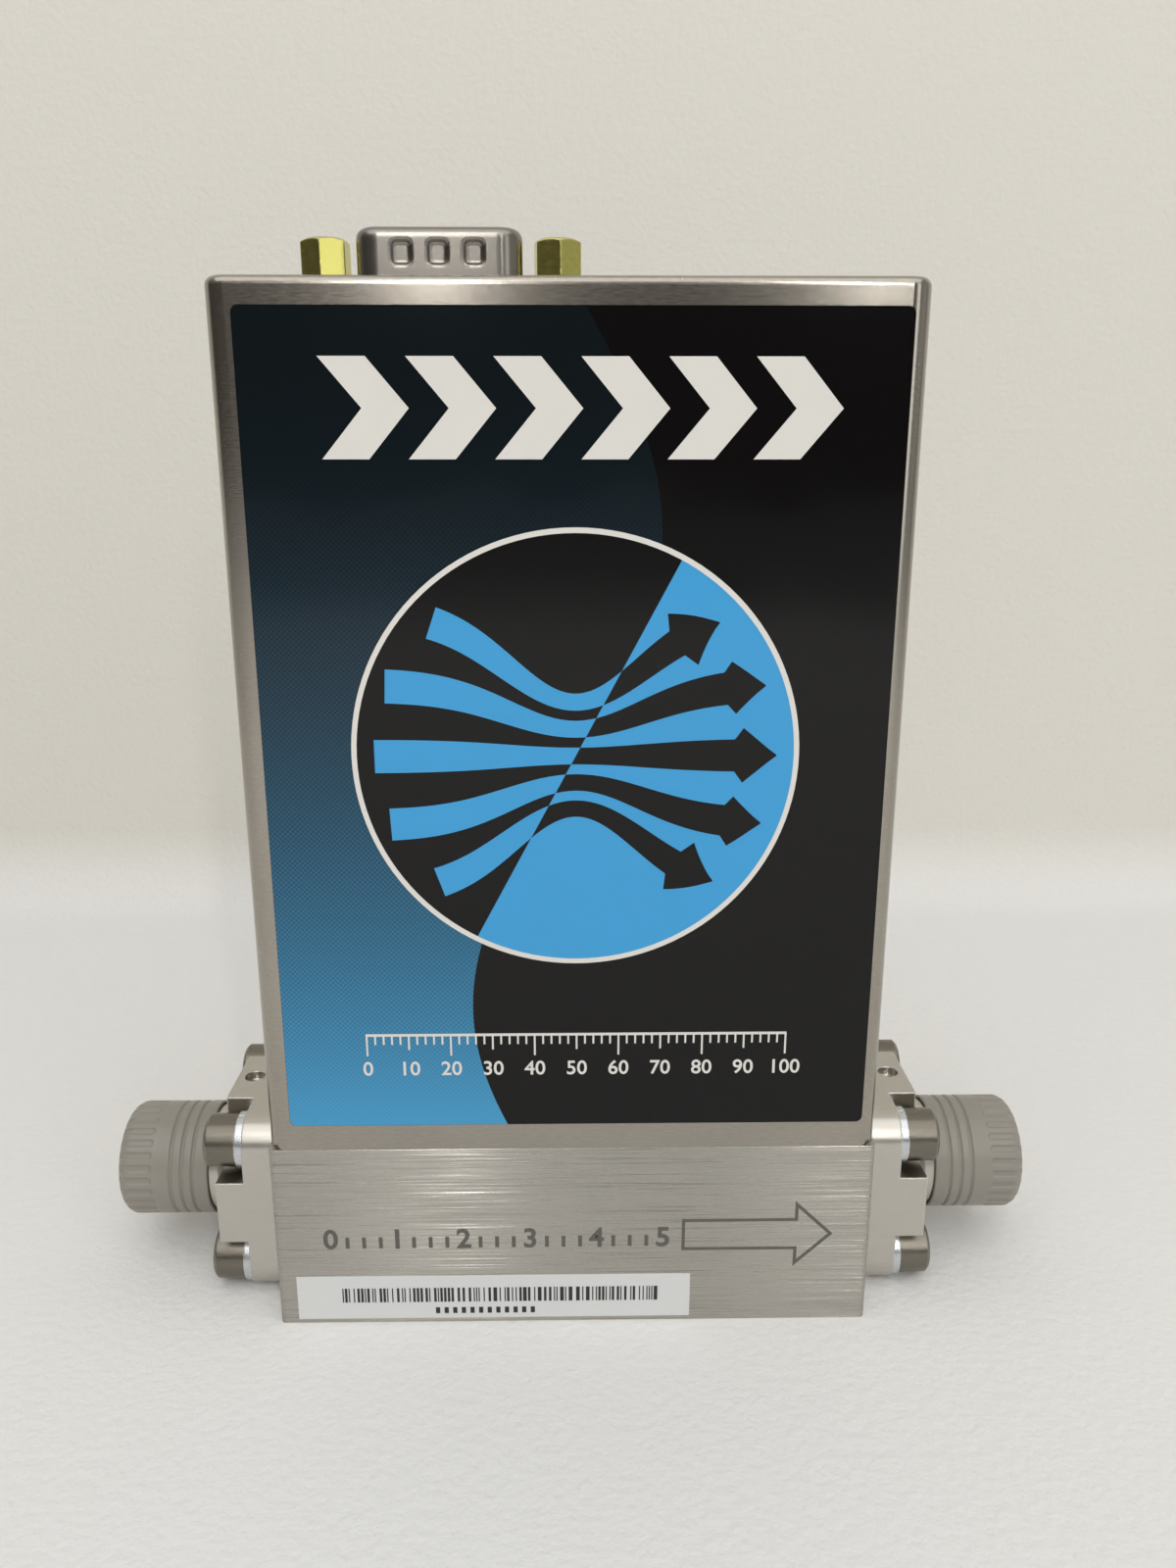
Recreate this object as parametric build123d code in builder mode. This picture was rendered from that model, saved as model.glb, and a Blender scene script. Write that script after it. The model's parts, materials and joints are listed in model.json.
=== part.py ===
import os
from math import cos, radians, tan

from build123d import *

os.makedirs("parts", exist_ok=True)

# Thermal mass flow controller, in millimetres.
# Gas runs along X, in at -X and out at +X. The front faces -Y and the base lies on Z = 0.

# Flow body: a drilled stainless block with a raised land that the case slips over
body_length = 76.2
body_depth = 38.1
body_height = 25.4
body_edge = 0.6
land_height = 2.5
port_height = 12.7
mounting_hole_spacing = 50.8
mounting_hole_radius = 1.75
mounting_hole_depth = 5.0

# Case: a drawn and folded sheet cover, open underneath
case_height = 101.6
case_wall = 1.0
case_corner = 2.4
case_top_edge = 1.0
case_fit = 0.1

# Front label and the sticker on the flow body
label_width = 71.1
label_height = 95.1
label_offset_x = 0.5
label_offset_z = 3.5
label_thickness = 0.15
label_corner = 0.8
sticker_width = 50.8
sticker_height = 6.35
sticker_left = 2.4
sticker_base = 0.65
sticker_thickness = 0.1

# Flow passages inside the body
bypass_bore_radius = 5.5
bypass_bore_length = 39.1
outlet_bore_radius = 2.3
crossover_radius = 1.0
passage_web = 0.1
drill_overrun = 1.0
sensor_tap_radius = 0.6
sensor_tap_spacing = 24.0
sensor_tap_centre = -17.0

# Fitting blocks, one on each end of the body
block_width = 27.3
block_height = 25.0
block_corner = 3.9
plate_thickness = 5.1
cross_thickness = 8.8
cross_bar_height = 8.8
cross_post_width = 11.7
pocket_corner = 3.9
gland_reach = 23.9
thread_radius = 7.14
thread_relief_radius = 6.5
thread_relief_length = 1.2
thread_runout = 0.6
thread_end_setback = 1.1
gland_bore_radius = 2.3
bead_radius = 4.3
bead_section = 0.7
bead_sides = 8
leak_port_radius = 1.4
leak_port_depth = 1.2
leak_port_setback = 0.5

# Flange screws, lock washers and metal seal rings
screw_spacing_y = 19.5
screw_spacing_z = 17.2
screw_radius = 2.08
screw_length = 12.7
screw_head_radius = 3.43
screw_head_height = 4.17
screw_head_edge = 0.35
screw_socket = 3.57
screw_socket_depth = 2.1
screw_hole_gap = 0.12
tapped_hole_gap = 0.03
tapped_hole_depth = 8.0
washer_radius = 3.7
washer_thickness = 1.0
washer_split = 0.5
washer_split_turn = 20
seal_outer_radius = 8.0
seal_inner_radius = 6.6
seal_thickness = 1.5
seal_fit = 0.05

# Thread caps
cap_radius = 7.65
cap_fit = 0.08
cap_lip_gap = 3.1
cap_end_gap = 0.1
cap_end_wall = 0.55
cap_end_edge = 2.0
cap_end_slope = 0.5
cap_dome_radius = 4.2
cap_dome_height = 1.25
cap_dome_slope = 1.8
cap_groove_first = 2.1
cap_groove_pitch = 1.5
cap_groove_count = 3
cap_groove_radius = 0.42
cap_groove_sides = 6
cap_groove_depth = 0.2
cap_flute_count = 28
cap_flute_width = 0.95
cap_flute_start = 7.7
cap_flute_length = 3.6
cap_flute_depth = 0.16

# Nine-pin connector on the case top
connector_offset = -13.8
connector_setback = 7.4
connector_rise = 5.1
shell_width = 17.6
shell_depth = 9.1
shell_slope = 10.0
shell_corner = 2.5
shell_wall = 0.4
shell_rim = 0.9
shell_fit = 0.15
flange_width = 30.8
flange_depth = 12.5
flange_thickness = 0.8
flange_corner = 1.5
dimple_pitch = 3.8
dimple_width = 2.6
dimple_length = 2.9
dimple_corner = 0.8
dimple_rim = 0.2
dimple_depth = 0.45
dimple_taper = 25
dimple_height = 2.5
jack_spacing = 24.99
jack_across = 4.75
jack_height = 4.4
jack_top_edge = 0.4
jack_thread_radius = 1.15
jack_thread_depth = 4.0
jack_shank_radius = 1.4
jack_hole_gap = 0.12
nut_across = 6.35
nut_height = 2.4
pin_radius = 0.5
pin_pitch = 2.77
pin_row_spacing = 2.84
pin_recess = 1.1
insulator_rear_height = 4.4
insulator_rear_width = 16.4
insulator_rear_depth = 7.0
insulator_fit = 0.05
pin_tip = 0.3
pin_tail = 3.6

# Circuit board behind the front of the case
board_side_gap = 3.1
board_thickness = 1.6
board_bottom = 32.0
board_overlap = 3.2
board_corner = 1.0
bracket_wall = 1.2
bracket_width = 30.0
bracket_height = 16.0
bracket_foot = 6.0
bracket_screw_spacing = 22.0
board_screw_rise = 11.2
small_screw_radius = 1.1
small_head_radius = 2.1
small_head_height = 1.6
small_screw_length = 5.0
chip_columns = 3
chip_rows = 2
chip_pitch_x = 20.0
chip_pitch_z = 25.0
chip_field_x = -4.0
chip_field_rise = 42.5
chip_length = 10.0
chip_width = 6.4
chip_height = 3.2
chip_standoff = 0.4
chip_leg_pitch = 2.54
chip_leg = 0.5
capacitor_radius = 4.0
capacitor_length = 11.0
capacitor_edge = 12.0
capacitor_rise = 48.0
capacitor_pitch_x = 14.0
capacitor_pitch_z = 16.0
header_width = 15.0
header_height = 5.0
header_depth = 6.0
header_rise = 44.0

# Thermal sensor on the inlet half of the body
sensor_length = 30.0
sensor_depth = 13.0
sensor_front_gap = 0.85
sensor_tap_setback = 4.0
sensor_base_height = 7.0
sensor_cover_height = 26.0
sensor_cover_wall = 0.8
sensor_screw_spacing = 12.0
sensor_screw_head = 2.4
sensor_seal_radius = 2.6
sensor_seal_bore = 1.5
sensor_seal_height = 1.0
capillary_radius = 0.45
capillary_rise = 20.0
capillary_bend = 4.0
winding_radius = 1.5
winding_length = 6.0
winding_gap = 1.5

# Laminar flow element in the bypass bore
element_length = 18.0
element_fit = 0.03
element_groove_count = 24
element_groove_width = 0.5
element_groove_depth = 1.2
element_stem_radius = 1.6
retainer_length = 2.6
retainer_hole_radius = 1.1
retainer_circle_radius = 3.4
retainer_hole_count = 6

# Control valve on the outlet half of the body
valve_setback = 20.1
valve_cavity_radius = 7.0
valve_drill_radius = 1.9
seat_radius = 4.4
seat_height = 3.4
seat_spigot = 0.8
seat_orifice_radius = 0.8
seat_lip = 0.3
seat_lip_radius = 1.7
seat_gap = 0.02
plunger_radius = 3.2
plunger_fit = 0.05
plunger_length = 24.0
plunger_collar_radius = 5.0
plunger_collar_height = 1.4
plunger_lift = 0.3
disc_radius = 2.3
disc_height = 1.0
pole_gap = 0.1
pole_stud_radius = 2.5
pole_stud_length = 7.0
stem_wall = 1.25
stem_flange_radius = 12.4
stem_flange_height = 3.0
stem_pilot = 1.5
stem_pilot_fit = 0.05
stem_collar_radius = 6.0
stem_collar_height = 3.1
valve_seal_width = 1.0
valve_screw_circle_radius = 9.9
valve_screw_head = 2.2
valve_screw_head_height = 2.8
valve_screw_radius = 1.4
valve_screw_length = 8.0
spring_radius = 4.2
spring_wire_width = 0.6
spring_wire_height = 0.4
spring_turns = 4
spring_end_gap = 0.01
coil_can_gap = 0.2
coil_length = 20.6
coil_flange = 1.0
coil_fit = 0.1
can_radius = 10.0
can_front_gap = 0.85
can_wall = 1.2
valve_nut_across = 9.5
valve_nut_height = 4.0

# Insulated leads from the windings to the board
coil_lead_radius = 0.5
coil_lead_spacing = 3.0
coil_lead_setback = 7.0
sensor_lead_radius = 0.25
sensor_lead_inset = 1.0
sensor_lead_rise = 4.0
sensor_lead_bend = 1.5
lead_hole_gap = 0.1

# Places worked out from the sizes above
body_end = body_length / 2
body_front = -body_depth / 2
land_top = body_height + land_height
land_inset = case_wall + case_fit
case_top = body_height + case_height
case_inside_top = case_top - case_wall
block_end = body_end + cross_thickness
gland_face = body_end + gland_reach
port_axis = Axis((0, 0, port_height), (1, 0, 0))
port_section = Plane(origin=(0, 0, port_height), x_dir=(1, 0, 0), z_dir=(0, -1, 0))
inlet_end = Plane(origin=(-body_end, 0, port_height), x_dir=(0, 1, 0), z_dir=(-1, 0, 0))
outlet_end = Plane(origin=(body_end, 0, port_height), x_dir=(0, 1, 0), z_dir=(1, 0, 0))
screw_hole_radius = screw_radius + screw_hole_gap
tapped_hole_radius = screw_radius + tapped_hole_gap
crossover_height = port_height + bypass_bore_radius - crossover_radius - passage_web
cavity_floor = crossover_height - crossover_radius - passage_web
bypass_bore_end = -body_end + bypass_bore_length
connector_y = body_front + connector_setback
connector_plane = Plane((connector_offset, connector_y, 0))
flange_bottom = case_inside_top - flange_thickness
board_width = body_length - 2 * (case_wall + board_side_gap)
board_front = connector_y - board_thickness / 2
board_back = connector_y + board_thickness / 2
bracket_foot_y = board_back + bracket_wall + (bracket_foot - bracket_wall) / 2
sensor_front = board_back + bracket_foot + sensor_front_gap
sensor_y = sensor_front + sensor_depth / 2
tap_y = sensor_front + sensor_tap_setback
tap_places = [
    (sensor_tap_centre - sensor_tap_spacing / 2, tap_y),
    (sensor_tap_centre + sensor_tap_spacing / 2, tap_y),
]
sensor_screw_places = [
    (sensor_tap_centre - sensor_screw_spacing / 2, tap_y),
    (sensor_tap_centre + sensor_screw_spacing / 2, tap_y),
]
valve_offset = body_end - valve_setback
valve_y = board_back + can_front_gap + can_radius
valve_plane = Plane((valve_offset, valve_y, 0))
coil_radius = can_radius - can_wall - coil_can_gap
bracket_screw_places = [
    (sensor_tap_centre - bracket_screw_spacing / 2, bracket_foot_y),
    (sensor_tap_centre + bracket_screw_spacing / 2, bracket_foot_y),
]


# ---- flow body ----

with BuildPart() as flow_body:
    Box(body_length, body_depth, body_height, align=(Align.CENTER, Align.CENTER, Align.MIN))
    fillet(flow_body.edges().filter_by(Axis.Z), radius=body_edge)
    with BuildSketch(Plane.XY.offset(body_height)):
        RectangleRounded(
            body_length - 2 * land_inset,
            body_depth - 2 * land_inset,
            case_corner - case_wall,
        )
    extrude(amount=land_height)
    # inlet end: recess for the seal ring, then the bore of the bypass
    with BuildSketch(inlet_end):
        Circle(seal_outer_radius + seal_fit)
    extrude(amount=-seal_thickness, mode=Mode.SUBTRACT)
    with BuildSketch(inlet_end):
        Circle(bypass_bore_radius)
    extrude(amount=-bypass_bore_length, mode=Mode.SUBTRACT)
    # outlet end: recess and the bore that runs in under the valve
    with BuildSketch(outlet_end):
        Circle(seal_outer_radius + seal_fit)
    extrude(amount=-seal_thickness, mode=Mode.SUBTRACT)
    with BuildSketch(outlet_end):
        Circle(outlet_bore_radius)
    extrude(amount=-(body_end - valve_offset + valve_drill_radius + drill_overrun), mode=Mode.SUBTRACT)
    # valve cavity, its seal recess, the drill to the outlet and the passage from the bypass
    with BuildSketch(valve_plane.offset(land_top)):
        Circle(valve_cavity_radius)
    extrude(amount=cavity_floor - land_top, mode=Mode.SUBTRACT)
    with BuildSketch(valve_plane.offset(land_top)):
        Circle(valve_cavity_radius + valve_seal_width)
    extrude(amount=-valve_seal_width, mode=Mode.SUBTRACT)
    with BuildSketch(valve_plane.offset(cavity_floor)):
        Circle(valve_drill_radius)
    extrude(amount=port_height - cavity_floor, mode=Mode.SUBTRACT)
    with BuildSketch(Plane.YZ.offset(bypass_bore_end)):
        with Locations((0, crossover_height)):
            Circle(crossover_radius)
    extrude(amount=valve_offset - valve_cavity_radius / 2 - bypass_bore_end, mode=Mode.SUBTRACT)
    # two taps to the sensor
    with BuildSketch(Plane.XY.offset(land_top)):
        with Locations(*tap_places):
            Circle(sensor_tap_radius)
    extrude(amount=port_height - land_top, mode=Mode.SUBTRACT)
    # tapped holes: flange screws, mounting, valve, sensor and bracket
    for end in (inlet_end, outlet_end):
        with BuildSketch(end):
            with GridLocations(screw_spacing_y, screw_spacing_z, 2, 2):
                Circle(tapped_hole_radius)
        extrude(amount=-tapped_hole_depth, mode=Mode.SUBTRACT)
    with BuildSketch(Plane.XY):
        with GridLocations(mounting_hole_spacing, 0, 2, 1):
            Circle(mounting_hole_radius)
    extrude(amount=mounting_hole_depth, mode=Mode.SUBTRACT)
    with BuildSketch(valve_plane.offset(land_top)):
        with PolarLocations(valve_screw_circle_radius, 4, start_angle=45):
            Circle(valve_screw_radius + tapped_hole_gap)
    extrude(amount=stem_flange_height - valve_screw_length, mode=Mode.SUBTRACT)
    with BuildSketch(Plane.XY.offset(land_top)):
        with Locations(*sensor_screw_places, *bracket_screw_places):
            Circle(small_screw_radius + tapped_hole_gap)
    extrude(amount=-small_screw_length, mode=Mode.SUBTRACT)
flow_body.part.label = "flow_body"
export_step(flow_body.part, "parts/flow_body.step")


# ---- case ----


# rounded D shape of the connector shell, its long side to the front
def shell_outline(offset_out):
    slope = radians(shell_slope)
    corner = shell_corner + offset_out
    depth = shell_depth + 2 * offset_out
    # the bends stop short of the sharp corners, so those stand wider than the shell
    corner_loss = corner * (tan(slope) + 1 / cos(slope) - 1)
    front_width = shell_width + 2 * offset_out + 2 * corner_loss
    back_width = front_width - 2 * depth * tan(slope)
    with BuildSketch(mode=Mode.PRIVATE) as outline:
        with BuildLine():
            Polyline(
                (-front_width / 2, -depth / 2),
                (front_width / 2, -depth / 2),
                (back_width / 2, depth / 2),
                (-back_width / 2, depth / 2),
                close=True,
            )
        make_face()
        fillet(outline.vertices(), radius=corner)
    return outline.sketch


with BuildPart() as case_cover:
    with BuildSketch(Plane.XY.offset(body_height)):
        RectangleRounded(body_length, body_depth, case_corner)
    extrude(amount=case_height)
    fillet(case_cover.faces().sort_by(Axis.Z)[-1].edges(), radius=case_top_edge)
    with BuildSketch(Plane.XY.offset(body_height)):
        RectangleRounded(body_length - 2 * case_wall, body_depth - 2 * case_wall, case_corner - case_wall)
    extrude(amount=case_height - case_wall, mode=Mode.SUBTRACT)
    with BuildSketch(connector_plane.offset(case_top)):
        add(shell_outline(shell_fit))
        with GridLocations(jack_spacing, 0, 2, 1):
            Circle(jack_shank_radius + jack_hole_gap)
    extrude(amount=-2 * case_wall, mode=Mode.SUBTRACT)
case_cover.part.label = "case_cover"
export_step(case_cover.part, "parts/case_cover.step")

with BuildPart() as front_label:
    with BuildSketch(Plane.XZ.offset(-body_front)):
        with Locations((label_offset_x, body_height + label_offset_z + label_height / 2)):
            RectangleRounded(label_width, label_height, label_corner)
    extrude(amount=label_thickness)
front_label.part.label = "front_label"
export_step(front_label.part, "parts/front_label.step")

with BuildPart() as body_sticker:
    with BuildSketch(Plane.XZ.offset(-body_front)):
        with Locations((-body_end + sticker_left, sticker_base)):
            Rectangle(sticker_width, sticker_height, align=(Align.MIN, Align.MIN))
    extrude(amount=sticker_thickness)
body_sticker.part.label = "body_sticker"
export_step(body_sticker.part, "parts/body_sticker.step")


# ---- fitting blocks, their screws, washers and seals ----

with BuildPart() as outlet_fitting:
    with BuildSketch(outlet_end):
        RectangleRounded(block_width, block_height, block_corner)
    extrude(amount=plate_thickness)
    # raised cross: the outline less four corner pockets for the screw heads
    with BuildSketch(outlet_end.offset(plate_thickness)):
        RectangleRounded(block_width, block_height, block_corner)
        with GridLocations(block_width, block_height, 2, 2):
            RectangleRounded(
                block_width - cross_post_width,
                block_height - cross_bar_height,
                pocket_corner,
                mode=Mode.SUBTRACT,
            )
    extrude(amount=cross_thickness - plate_thickness)
    # threaded stub with its relief, and the gland with its sealing bead
    with BuildSketch(port_section):
        with BuildLine():
            Polyline(
                (block_end, 0),
                (block_end, thread_relief_radius),
                (block_end + thread_relief_length, thread_relief_radius),
                (block_end + thread_relief_length + thread_runout, thread_radius),
                (gland_face - thread_end_setback - thread_runout, thread_radius),
                (gland_face - thread_end_setback, thread_radius - thread_runout),
                (gland_face - bead_section, thread_radius - thread_runout),
                (gland_face - bead_section, 0),
                close=True,
            )
        make_face()
        with Locations((gland_face - bead_section, bead_radius)):
            RegularPolygon(bead_section, bead_sides, major_radius=False)
    revolve(axis=port_axis)
    with BuildSketch(outlet_end):
        Circle(gland_bore_radius)
    extrude(amount=gland_reach, mode=Mode.SUBTRACT)
    with BuildSketch(outlet_end):
        with GridLocations(screw_spacing_y, screw_spacing_z, 2, 2):
            Circle(screw_hole_radius)
    extrude(amount=plate_thickness, mode=Mode.SUBTRACT)
    with BuildSketch(Plane.XY.offset(port_height + block_height / 2)):
        with Locations((body_end + (plate_thickness + cross_thickness) / 2 - leak_port_setback, 0)):
            Circle(leak_port_radius)
    extrude(amount=-leak_port_depth, mode=Mode.SUBTRACT)
outlet_fitting.part.label = "outlet_fitting"
export_step(outlet_fitting.part, "parts/outlet_fitting.step")

with BuildPart() as inlet_fitting:
    mirror(outlet_fitting.part, about=Plane.YZ)
inlet_fitting.part.label = "inlet_fitting"
export_step(inlet_fitting.part, "parts/inlet_fitting.step")

with BuildPart() as outlet_washers:
    with BuildSketch(outlet_end.offset(plate_thickness)):
        with GridLocations(screw_spacing_y, screw_spacing_z, 2, 2):
            Circle(washer_radius)
            Circle(screw_hole_radius, mode=Mode.SUBTRACT)
            with Locations((0, washer_radius / 2)):
                Rectangle(washer_split, washer_radius, rotation=washer_split_turn, mode=Mode.SUBTRACT)
    extrude(amount=washer_thickness)
outlet_washers.part.label = "outlet_washers"
export_step(outlet_washers.part, "parts/outlet_washers.step")

with BuildPart() as inlet_washers:
    mirror(outlet_washers.part, about=Plane.YZ)
inlet_washers.part.label = "inlet_washers"
export_step(inlet_washers.part, "parts/inlet_washers.step")

with BuildPart() as outlet_screws:
    head_seat = outlet_end.offset(plate_thickness + washer_thickness)
    with BuildSketch(head_seat):
        with GridLocations(screw_spacing_y, screw_spacing_z, 2, 2):
            Circle(screw_head_radius)
    extrude(amount=screw_head_height)
    chamfer(outlet_screws.edges().filter_by(GeomType.CIRCLE).group_by(Axis.X)[-1], length=screw_head_edge)
    with BuildSketch(head_seat.offset(screw_head_height)):
        with GridLocations(screw_spacing_y, screw_spacing_z, 2, 2):
            RegularPolygon(screw_socket / 2, 6, major_radius=False)
    extrude(amount=-screw_socket_depth, mode=Mode.SUBTRACT)
    with BuildSketch(head_seat):
        with GridLocations(screw_spacing_y, screw_spacing_z, 2, 2):
            Circle(screw_radius)
    extrude(amount=-screw_length)
outlet_screws.part.label = "outlet_screws"
export_step(outlet_screws.part, "parts/outlet_screws.step")

with BuildPart() as inlet_screws:
    mirror(outlet_screws.part, about=Plane.YZ)
inlet_screws.part.label = "inlet_screws"
export_step(inlet_screws.part, "parts/inlet_screws.step")

with BuildPart() as outlet_seal:
    with BuildSketch(outlet_end):
        Circle(seal_outer_radius)
        Circle(seal_inner_radius, mode=Mode.SUBTRACT)
    extrude(amount=-seal_thickness)
outlet_seal.part.label = "outlet_seal"
export_step(outlet_seal.part, "parts/outlet_seal.step")

with BuildPart() as inlet_seal:
    mirror(outlet_seal.part, about=Plane.YZ)
inlet_seal.part.label = "inlet_seal"
export_step(inlet_seal.part, "parts/inlet_seal.step")


# ---- thread caps ----

cap_lip = block_end + cap_lip_gap
cap_inner_end = gland_face + cap_end_gap
cap_end = cap_inner_end + cap_end_wall
cap_rim = cap_end - cap_end_slope
cap_bore = thread_radius + cap_fit
# the bore narrows past the thread and once more over the bead, under the rounded end
cap_throat = cap_bore - thread_runout
cap_throat_end = gland_face - bead_section + cap_end_gap
cap_bead_bore = bead_radius + bead_section + 3 * cap_end_gap
thread_end = gland_face - thread_end_setback + cap_end_gap

with BuildPart() as outlet_cap:
    with BuildSketch(port_section):
        with BuildLine():
            Polyline(
                (cap_inner_end, 0),
                (cap_inner_end, bead_radius + bead_section),
                (cap_throat_end, cap_bead_bore),
                (cap_throat_end, cap_throat),
                (thread_end, cap_throat),
                (thread_end - thread_runout, cap_bore),
                (cap_lip, cap_bore),
                (cap_lip, cap_radius),
                (cap_rim - cap_end_edge, cap_radius),
            )
            RadiusArc(
                (cap_rim - cap_end_edge, cap_radius),
                (cap_rim, cap_radius - cap_end_edge),
                cap_end_edge,
            )
            Polyline(
                (cap_rim, cap_radius - cap_end_edge),
                (cap_end, cap_dome_radius),
                (cap_end + cap_dome_height, cap_dome_radius - cap_dome_slope),
                (cap_end + cap_dome_height, 0),
                (cap_inner_end, 0),
            )
        make_face()
        # grooves round the skirt
        with Locations((cap_lip + cap_groove_first, cap_radius + cap_groove_radius - cap_groove_depth)):
            with Locations(*[(i * cap_groove_pitch, 0) for i in range(cap_groove_count)]):
                RegularPolygon(cap_groove_radius, cap_groove_sides, mode=Mode.SUBTRACT)
    revolve(axis=port_axis)
    # flutes for the fingers round the closed end
    for i in range(cap_flute_count):
        outward = Vector(0, 1, 0).rotate(Axis.X, 360 / cap_flute_count * (i + 0.5))
        flute_centre = Vector(cap_lip + cap_flute_start + cap_flute_length / 2, 0, port_height)
        flute_floor = flute_centre + outward * (cap_radius - cap_flute_depth)
        with BuildSketch(Plane(origin=flute_floor, x_dir=(1, 0, 0), z_dir=outward)):
            Rectangle(cap_flute_length, cap_flute_width)
        extrude(amount=2 * cap_flute_depth, mode=Mode.SUBTRACT)
outlet_cap.part.label = "outlet_cap"
export_step(outlet_cap.part, "parts/outlet_cap.step")

with BuildPart() as inlet_cap:
    mirror(outlet_cap.part, about=Plane.YZ)
inlet_cap.part.label = "inlet_cap"
export_step(inlet_cap.part, "parts/inlet_cap.step")


# ---- connector ----

shell_top = case_top + connector_rise
dimple_plane = Plane(
    origin=(connector_offset, connector_y - shell_depth / 2, case_top + dimple_height),
    x_dir=(1, 0, 0),
    z_dir=(0, -1, 0),
)
pin_bottom = flange_bottom - insulator_rear_height - pin_tail
pin_places = [((i - 2) * pin_pitch, -pin_row_spacing / 2) for i in range(5)]
pin_places += [((i - 1.5) * pin_pitch, pin_row_spacing / 2) for i in range(4)]

with BuildPart() as connector_shell:
    with BuildSketch(connector_plane.offset(flange_bottom)):
        RectangleRounded(flange_width, flange_depth, flange_corner)
    extrude(amount=flange_thickness)
    with BuildSketch(connector_plane.offset(case_inside_top)):
        add(shell_outline(0))
    extrude(amount=shell_top - case_inside_top)
    chamfer(connector_shell.faces().sort_by(Axis.Z)[-1].edges(), length=shell_rim)
    with BuildSketch(connector_plane.offset(flange_bottom)):
        add(shell_outline(-shell_wall))
    extrude(amount=shell_top - shell_rim - flange_bottom, mode=Mode.SUBTRACT)
    # the rim leans inwards, so the opening narrows with it
    with BuildSketch(connector_plane.offset(shell_top - shell_rim)):
        add(shell_outline(-shell_wall))
    with BuildSketch(connector_plane.offset(shell_top)):
        add(shell_outline(-shell_wall - shell_rim))
    loft(ruled=True, mode=Mode.SUBTRACT)
    # spring dimples pressed into the long front wall
    with BuildSketch(dimple_plane):
        with GridLocations(dimple_pitch, 0, 3, 1):
            RectangleRounded(dimple_width, dimple_length, dimple_corner)
    extrude(amount=-(dimple_depth + shell_wall), taper=dimple_taper)
    with BuildSketch(dimple_plane):
        with GridLocations(dimple_pitch, 0, 3, 1):
            RectangleRounded(
                dimple_width - 2 * dimple_rim,
                dimple_length - 2 * dimple_rim,
                dimple_corner - dimple_rim,
            )
    extrude(amount=-dimple_depth, taper=dimple_taper, mode=Mode.SUBTRACT)
    with BuildSketch(connector_plane.offset(flange_bottom)):
        with GridLocations(jack_spacing, 0, 2, 1):
            Circle(jack_shank_radius + jack_hole_gap)
    extrude(amount=flange_thickness, mode=Mode.SUBTRACT)
connector_shell.part.label = "connector_shell"
export_step(connector_shell.part, "parts/connector_shell.step")

with BuildPart() as connector_insulator:
    with BuildSketch(connector_plane.offset(flange_bottom)):
        add(shell_outline(-shell_wall - insulator_fit))
    extrude(amount=case_top - flange_bottom)
    with BuildSketch(connector_plane.offset(flange_bottom)):
        Rectangle(insulator_rear_width, insulator_rear_depth)
    extrude(amount=-insulator_rear_height)
    with BuildSketch(connector_plane.offset(case_top)):
        with Locations(*pin_places):
            Circle(pin_radius)
    extrude(amount=flange_bottom - insulator_rear_height - case_top, mode=Mode.SUBTRACT)
connector_insulator.part.label = "connector_insulator"
export_step(connector_insulator.part, "parts/connector_insulator.step")

with BuildPart() as connector_pins:
    with BuildSketch(connector_plane.offset(pin_bottom)):
        with Locations(*pin_places):
            Circle(pin_radius)
    extrude(amount=shell_top - pin_recess - pin_bottom)
    chamfer(connector_pins.edges().group_by(Axis.Z)[-1], length=pin_tip)
connector_pins.part.label = "connector_pins"
export_step(connector_pins.part, "parts/connector_pins.step")

with BuildPart() as jackscrews:
    with BuildSketch(connector_plane.offset(case_top)):
        with GridLocations(jack_spacing, 0, 2, 1):
            RegularPolygon(jack_across / 2, 6, major_radius=False)
    extrude(amount=jack_height)
    chamfer(jackscrews.faces().group_by(Axis.Z)[-1].edges(), length=jack_top_edge)
    with BuildSketch(connector_plane.offset(case_top + jack_height)):
        with GridLocations(jack_spacing, 0, 2, 1):
            Circle(jack_thread_radius)
    extrude(amount=-jack_thread_depth, mode=Mode.SUBTRACT)
    with BuildSketch(connector_plane.offset(case_top)):
        with GridLocations(jack_spacing, 0, 2, 1):
            Circle(jack_shank_radius)
    extrude(amount=flange_bottom - nut_height - case_top)
jackscrews.part.label = "jackscrews"
export_step(jackscrews.part, "parts/jackscrews.step")

with BuildPart() as jackscrew_nuts:
    with BuildSketch(connector_plane.offset(flange_bottom)):
        with GridLocations(jack_spacing, 0, 2, 1):
            RegularPolygon(nut_across / 2, 6, major_radius=False)
            Circle(jack_shank_radius, mode=Mode.SUBTRACT)
    extrude(amount=-nut_height)
jackscrew_nuts.part.label = "jackscrew_nuts"
export_step(jackscrew_nuts.part, "parts/jackscrew_nuts.step")


# ---- circuit board and what carries it ----

board_top = pin_bottom + board_overlap
board_screw_places = [
    (sensor_tap_centre - bracket_screw_spacing / 2, land_top + board_screw_rise),
    (sensor_tap_centre + bracket_screw_spacing / 2, land_top + board_screw_rise),
]
capacitor_column = -board_width / 2 + capacitor_edge
capacitor_places = [
    (capacitor_column, board_bottom + capacitor_rise),
    (capacitor_column + capacitor_pitch_x, board_bottom + capacitor_rise),
    (capacitor_column, board_bottom + capacitor_rise + capacitor_pitch_z),
]
header_place = (valve_offset, board_bottom + header_rise)

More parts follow.
